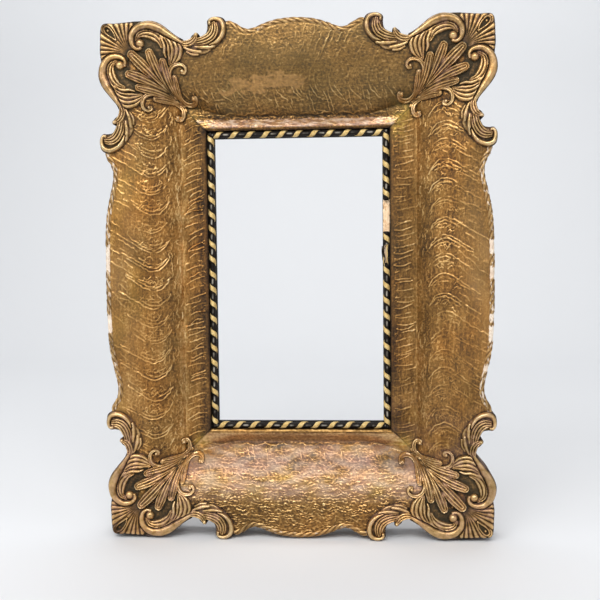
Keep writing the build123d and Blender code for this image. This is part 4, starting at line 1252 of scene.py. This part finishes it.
def edge_bead(rail, seed):
    nz = noise_maker(seed)
    if rail in ("left", "right"):
        half = [p for p in EDGE if p[1] <= 141 and p[0] > 180]
        q = curve([(u, -v) for u, v in reversed(half[1:])] + half, 8)
        keep = np.abs(q[:, 1]) < 133.2
        sgn = 1 if rail == "right" else -1
        q = q[keep]
        inward = 0
    else:
        half = [p for p in EDGE if p[0] <= 77]
        q = curve(half + [(-u, v) for u, v in reversed(half[:-1])], 8)
        keep = np.abs(q[:, 0]) < 70.5
        sgn = 1 if rail == "top" else -1
        q = q[keep]
        inward = 1
    q, s = resample(q, 0.7)
    t = np.gradient(q, axis=0)
    t /= np.hypot(t[:, 0], t[:, 1])[:, None]
    nrm = np.column_stack([t[:, 1], -t[:, 0]])
    c = q + nrm * (-0.5)
    depth = np.full(len(c), RIM_D - 2.4)
    path = np.column_stack([c, depth])
    period = 34.0
    wob = nz(s / 9.0, s * 0 + 0.5)

    nseg = 36
    ang = np.arange(nseg) * 2 * np.pi / nseg
    along = c[:, 1] if inward == 0 else c[:, 0]
    # chips: ragged in length and round the bead, down to the white ground
    rag = 2.2 * nz(s[:, None] / 2.6, np.cos(ang)[None, :] * 1.8) + 1.2 * nz(s[:, None] / 1.1 + 40, np.sin(ang)[None, :] * 3.0)
    chip = np.zeros((len(s), nseg))
    for lo, hi in CHIPS[rail]:
        inside = np.minimum(along - lo, hi - along)[:, None] + rag + 0.6
        chip = np.maximum(chip, smooth(-0.3, 0.5, inside))
    flake = fbm(nz, s[:, None] / 5.5 + 120, np.cos(ang)[None, :] * 1.6 + 3, 3) + 0.25 * nz(s[:, None] / 38.0 + 9, ang[None, :] * 0)
    flake = smooth(0.0, 0.12, flake - (0.34 if inward == 0 else 0.62))
    chip = np.maximum(chip, 0.8 * flake)
    scuff = smooth(0.30, 0.62, fbm(nz, s[:, None] / 14.0 + 70, np.cos(ang)[None, :] * 0.8, 3))
    r = 3.15 + 0.10 * wob
    lay = s + 1.6 * nz(s / 21.0, s * 0 + 3.1)
    ph = 2.0 * (ang[None, :] + 2 * np.pi * lay[:, None] / period)
    lobes = np.abs(np.cos(ph)) ** 0.5
    form = 0.76 + 0.26 * lobes + 0.02 * np.sin(5 * ph)
    form = form * (1 - chip * (0.13 + 0.05 * nz(s[:, None] / 1.6, ang[None, :] * 2.0)))

    def shape(_a, _i):
        return form

    P, Q, T = tube(path, r, nseg, 1.0, up=(0, 0, 1), shape=shape)
    # painted shade in the grooves between the ribbon's turns, lighter on their crests, with scuffs
    shade_and_wear = np.clip(0.08 + 0.54 * np.abs(np.cos(ph)) ** 0.45 + 0.16 * scuff, 0, 1)
    shade_and_wear = np.concatenate([shade_and_wear.ravel(), [0.3, 0.3]])
    ch = np.concatenate([chip.ravel(), [0, 0]])
    if sgn < 0:
        if inward == 0:
            P = P * np.array([-1, 1, 1.0])
        else:
            P = P * np.array([1, -1, 1.0])
        Q, T = Q[:, ::-1], T[:, ::-1]
    zero = np.zeros(len(P))
    ob = new_mesh("edge_bead_%s_wound" % rail, stood(P), Q, T, dict(shade_and_wear=shade_and_wear, chip=ch, pink=zero, yellow=zero, pale=zero, olive=zero), MAT_ORN, 60)
    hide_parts("edge_bead_%s" % rail)
    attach(ob, "frame")


for _rail, _seed in (("right", 91), ("left", 92), ("top", 93), ("bottom", 94)):
    edge_bead(_rail, _seed)


# ---------------------------------------------------------------- rope along the sight edge
ROPE_PITCH = 15.6
ROPE_S = 5.2
ROPE_AXIS_D = FILLET_TOP + 2.9
ROPE_SIT = -2.85


def strands(a0, a1, seed=0):
    """A black cord with a gold strand wound round it; points are (across, along, up)."""
    nz, nb = noise_maker(seed), noise_maker(seed + 1)
    # gold: a flat bundle of yarns, passing the front nearly square and the back at a slant
    hw, slow = 2.75, 0.28
    step = math.radians(9.0)
    room = a1 - a0 - 2 * 6.9
    count = max(int(round(room / ROPE_PITCH)), 0) + 1
    pitch = room / (count - 1) if count > 1 else ROPE_PITCH
    first = a0 + 6.9 if count > 1 else 0.5 * (a0 + a1)
    phi = np.arange(-0.3, np.pi + 0.3 + 2 * np.pi * (count - 1) + 1e-6, step)
    centre = first - 0.25 * pitch + pitch / (2 * np.pi) * (phi + slow * np.cos(phi)) + 0.35 * nz(phi / 5.0, phi * 0 + 0.4)
    w = np.sin(np.linspace(-0.5, 0.5, 19) * math.pi)
    wide = hw * (1 + 0.07 * nz(phi / 3.0, phi * 0 + 5.2))
    tip = np.minimum(smooth(-0.1, 0.9, phi - phi[0]), smooth(-0.1, 0.9, phi[-1] - phi))
    yarns = 0.11 * np.cos(2 * np.pi * (2.5 * w[None, :] + 0.10 * phi[:, None]))
    thick = (0.18 + 0.62 * np.sqrt(1 - np.abs(w[None, :]) ** 3.2) + yarns * (1 - w[None, :] ** 4)) * (0.3 + 0.7 * tip[:, None])
    n, k = len(phi), len(w)

    def shell(rad):
        return np.column_stack([(rad * np.cos(phi)[:, None]).ravel(), (centre[:, None] + wide[:, None] * w[None, :]).ravel(),
                                np.maximum(rad * np.sin(phi)[:, None], ROPE_SIT).ravel()])

    P = np.vstack([shell(2.72 + thick), shell(np.full((n, k), 2.35))])
    ii = np.arange(n * k).reshape(n, k)
    a, b, c, d = ii[:-1, :-1].ravel(), ii[1:, :-1].ravel(), ii[1:, 1:].ravel(), ii[:-1, 1:].ravel()
    m = n * k
    Q = [np.column_stack([a, d, c, b]), np.column_stack([a, b, c, d]) + m]
    for e, flip in ((ii[:, 0], 0), (ii[:, -1], 1), (ii[0, :], 1), (ii[-1, :], 0)):
        q = np.column_stack([e[:-1], e[1:], e[1:] + m, e[:-1] + m])
        Q.append(q[:, ::-1] if flip else q)
    lay = np.concatenate([(2.5 * w[None, :] + 0.10 * phi[:, None]).ravel()] * 2)
    gold = (P, np.vstack(Q), np.zeros((0, 3), int), lay, np.zeros(len(P)))
    # black: yarns laid along the cord at a long slant
    n = int((a1 - a0) / 0.6) + 2
    al = np.linspace(a0, a1, n)
    path = np.column_stack([0.12 * nb(al / 9.0, al * 0 + 0.3), al, 0.10 * nb(al / 7.0, al * 0 + 3.3)])
    end = np.minimum(smooth(-0.3, 1.4, al - a0), smooth(-0.3, 1.4, a1 - al))

    def shape(ang, i):
        return 1 + 0.045 * np.cos(6 * ang + 0.16 * al[i])

    P, Q, T = tube(path, 2.85 * (1 + 0.03 * nb(al / 5.0, al * 0 + 7.7)) * (0.6 + 0.4 * end), 36, up=(0, 0, 1), shape=shape)
    P[:, 2] = np.maximum(P[:, 2], ROPE_SIT)
    ang = np.tile(np.arange(36) / 36.0, n)
    lay = np.concatenate([ang * 18 + np.repeat(al, 36) * 0.08, [0, 0]])
    # painted glint: a pale streak on the crest of the black, between the turns of gold
    off = np.abs(np.mod((P[:, 1] - first) / pitch, 1.0) - 0.5)
    painted_crest_glint = (1 - smooth(0.10, 0.21, off)) * np.exp(-((P[:, 0] + 0.3 * nz(P[:, 1] / 6.0, P[:, 1] * 0)) / 0.62) ** 2) * (P[:, 2] > 0)
    painted_crest_glint = painted_crest_glint * np.clip(0.55 + 1.2 * nb(P[:, 1] / 11.0, P[:, 1] * 0 + 2.2), 0, 1)
    return [gold, (P, Q, T, lay, painted_crest_glint)]


def fibre(pts, r, seed):
    q = curve(pts, 8)
    P, Q, T = tube(q, r * np.sin(np.linspace(0.5, math.pi - 0.25, len(q))), 7, up=(0.31, 0.17, 0.93))
    return P, Q, T, np.zeros(len(P)), np.zeros(len(P))


def rope(name, node, runs, rail, seed, extra=((), ())):
    """runs: (from, to) along the side, up or to the right; extra: loose fibres for each strand."""
    parts = [list(extra[0]), list(extra[1])]
    for i, (a0, a1) in enumerate(runs):
        for k, piece in enumerate(strands(a0, a1, seed=seed + 7 * i)):
            parts[k].append(piece)
    for k in (0, 1):
        P, Q, T = merge([x[:3] for x in parts[k]])
        across, along, high = P[:, 0].copy(), P[:, 1].copy(), P[:, 2].copy()
        if rail == "right":
            x, y = SIGHT_U + ROPE_S + across, along
        elif rail == "left":
            x, y = -(SIGHT_U + ROPE_S) + across, along
        elif rail == "top":
            x, y = along, SIGHT_V + ROPE_S - across
        else:
            x, y = along, -(SIGHT_V + ROPE_S) - across
        P = np.column_stack([x, y, ROPE_AXIS_D + high])
        ob = new_mesh("%s_%s" % (name, ("gold", "black")[k]), stood(P), Q, T, dict(lay=np.concatenate([x[3] for x in parts[k]]), painted_crest_glint=np.concatenate([x[4] for x in parts[k]])),
                      (MAT_GOLDYARN, MAT_BLACKYARN)[k], 60)
        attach(ob, "frame")
        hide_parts(node)


# loose fibres where the cord has come apart below the lost length
_rng = np.random.default_rng(77)
_g, _k = [], []
for _i in range(9):
    _x = _rng.uniform(-2.6, 2.6)
    _top, _low = _rng.uniform(34, 38.5), _rng.uniform(13, 19)
    _pts = [(_x + _rng.normal(0, 0.5) + (-1.6 * math.sin(math.pi * t) if _x < -0.8 else 0.2), _top + (_low - _top) * t,
             0.5 + 1.2 * math.cos(_x * 0.5) + _rng.normal(0, 0.5)) for t in (0.0, 0.3, 0.6, 0.85, 1.0)]
    (_g if _i % 3 == 0 else _k).append(fibre(_pts, _rng.uniform(0.36, 0.55) if _i % 3 == 0 else _rng.uniform(0.38, 0.62), _i))
_g.append(fibre([(1.6, 37, 0.8), (0.4, 31, 1.4), (0.9, 25, 1.2), (-0.4, 18, 0.9)], 0.60, 31))
_k.append(fibre([(-4.4, 35, 0.6), (-4.3, 30, 0.8), (-4.0, 25, 0.8), (-2.6, 18, 0.4)], 0.75, 32))

rope("rope_left", "rope_left", [(-152.2, 152.2)], "left", 201)
rope("rope_right_upper", "rope_right_upper", [(81.2, 152.6)], "right", 211)
rope("rope_right_lower", "rope_right_lower", [(-152.6, 16.5), (36.0, 49.8)], "right", 221, (_g, _k))
rope("rope_top", "rope_top", [(-88.6, 88.6)], "top", 231)
rope("rope_bottom", "rope_bottom", [(-88.6, 88.6)], "bottom", 241)

# old glue and bare ground where the cord is gone
_R = Relief(1.2, 9.6, 13.0, 85.0, 0.4)
_nz = noise_maker(301)
_lo, _hi = 17.5 + 1.2 * _nz(_R.A / 1.7, _R.B * 0), 82.0 + 1.2 * _nz(_R.A / 1.9, _R.B * 0 + 9)
_in, _ex = 2.1 + 0.35 * fbm(_nz, _R.B / 4.0, _R.A * 0 + 4, 3), 8.7 + 0.35 * fbm(_nz, _R.B / 4.0, _R.A * 0 + 14, 3)
_nar = 1.0 - smooth(48.0, 49.8, _R.B)
_R.m = np.maximum(np.minimum(np.minimum(_R.A - _in - 0.9 * _nar, _ex - 0.9 * _nar - _R.A), np.minimum(_R.B - _lo, _hi - _R.B)), -6.0)
_t = FILLET_TOP + 0.55 + 0.35 * fbm(_nz, _R.A / 2.2, _R.B / 3.0, 3) + 0.8 * np.clip(_nz(_R.A / 1.4, _R.B / 5.0), 0, 1) - 0.4 * (1 - smooth(0, 0.7, _R.m))
_t = np.maximum(_t, FILLET_TOP + 0.12)
_d = relief_mesh(_R, _t, lambda a, b: np.full(np.shape(a), FILLET_TOP - 0.3), {}, coarse=2.0)
_d["P"][:, 0] += SIGHT_U
put("rope_bed_bare", _d, MAT_GROUND, None)

# ---------------------------------------------------------------- carried-over pieces: better materials
for _name, _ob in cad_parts.items():
    _mat = None
    if _name in ("top_rail", "bottom_rail"):
        _mat = MAT_WOOD_X
    elif _name in ("left_rail", "right_rail"):
        _mat = MAT_WOOD_Z
    elif _name == "mitre_keys":
        _mat = MAT_KEY
    elif _name.startswith("sight_fillet"):
        _mat = MAT_BLACK
    elif _name in ("turn_button_screws", "hanger_screws", "mitre_nails"):
        _mat = MAT_STEEL
    elif _name.startswith("turn_button"):
        _mat = MAT_ZINC
    elif _name.startswith("hanger"):
        _mat = MAT_BRASS
    if _mat:
        _ob.data.materials.clear()
        _ob.data.materials.append(_mat)

# ---------------------------------------------------------------- stage, light, camera
def plain(name, col, rough):
    mat, nt, b = nodes_of(name)
    b.inputs["Base Color"].default_value = (*col, 1)
    b.inputs["Roughness"].default_value = rough
    return mat


MAT_FLOOR = plain("stage_pale", (0.765, 0.775, 0.79), 0.75)
ny, nx = 60, 2
prof = [(-3.0, 0.0), (1.3, 0.0)]
for i in range(1, 25):
    t = i / 24 * math.pi / 2
    prof.append((1.3 + 0.9 * math.sin(t), 0.9 - 0.9 * math.cos(t)))
prof.append((2.2, 3.2))
verts, faces = [], []
for (y, z) in prof:
    for x in (-3.2, 3.2):
        verts.append((x, y, z))
for i in range(len(prof) - 1):
    faces.append((2 * i, 2 * i + 1, 2 * i + 3, 2 * i + 2))
me = bpy.data.meshes.new("stage_floor")
me.from_pydata(verts, [], faces)
me.shade_smooth()
me.materials.append(MAT_FLOOR)
floor = bpy.data.objects.new("stage_floor", me)
bpy.context.scene.collection.objects.link(floor)

world = bpy.data.worlds.new("studio")
world.use_nodes = True
bg = world.node_tree.nodes["Background"]
bg.inputs["Color"].default_value = (0.90, 0.92, 0.95, 1)
bg.inputs["Strength"].default_value = 0.42
bpy.context.scene.world = world


def area(name, loc, target, size, power, col=(1, 1, 1)):
    li = bpy.data.lights.new(name, "AREA")
    li.shape = "RECTANGLE"
    li.size, li.size_y = size
    li.energy = power
    li.color = col
    ob = bpy.data.objects.new(name, li)
    ob.location = loc
    ob.rotation_euler = (Vector(target) - Vector(loc)).to_track_quat("-Z", "Y").to_euler()
    bpy.context.scene.collection.objects.link(ob)
    return ob


area("key_top", (-0.15, -1.35, 1.38), (0, 0.0, 0.25), (1.7, 0.9), 28, (1.0, 0.985, 0.97))
area("fill_left", (-1.6, -1.0, 0.9), (0, 0, 0.3), (0.9, 1.2), 7, (0.96, 0.98, 1.0))
area("fill_right", (1.6, -1.1, 0.9), (0, 0, 0.3), (0.9, 1.2), 5, (0.98, 0.98, 1.0))
area("back_wash", (0.0, 0.9, 2.7), (0, 2.0, 1.15), (2.6, 0.8), 32)

# camera fitted to the corners and the sight opening
CAM_YAW, CAM_PITCH, CAM_ROLL = math.radians(3.936), math.radians(3.590), math.radians(-0.623)
CAM_T = np.array([0.567, -21.129, 947.659])
cy, sy_ = math.cos(CAM_YAW), math.sin(CAM_YAW)
cp, sp = math.cos(CAM_PITCH), math.sin(CAM_PITCH)
cr, sr = math.cos(CAM_ROLL), math.sin(CAM_ROLL)
Ry = np.array([[cy, 0, sy_], [0, 1, 0], [-sy_, 0, cy]])
Rx = np.array([[1, 0, 0], [0, cp, -sp], [0, sp, cp]])
Rz = np.array([[cr, -sr, 0], [sr, cr, 0], [0, 0, 1]])
Rc = Rz @ Rx @ Ry
pc = -Rc.T @ CAM_T


def to_row(v, point):
    a, b, c = v
    if point:
        return np.array([a, Y_BACK + c, HALF_H - b]) / 1000.0
    return np.array([a, c, -b])


right, down, fwd = (to_row(Rc[k], False) for k in range(3))
cam_data = bpy.data.cameras.new("camera")
cam_data.sensor_fit = "HORIZONTAL"
cam_data.sensor_width = 36.0
cam_data.lens = 36.0 * 900.0 / 600.0
cam_data.clip_start, cam_data.clip_end = 0.02, 30
cam = bpy.data.objects.new("camera", cam_data)
M = Matrix.Identity(4)
for r in range(3):
    M[r][0], M[r][1], M[r][2] = float(right[r]), float(-down[r]), float(-fwd[r])
M.translation = Vector(to_row(pc, True))
cam.matrix_world = M
bpy.context.scene.collection.objects.link(cam)
bpy.context.scene.camera = cam

bpy.context.scene.view_settings.view_transform = "Standard"
bpy.context.scene.view_settings.look = "None"
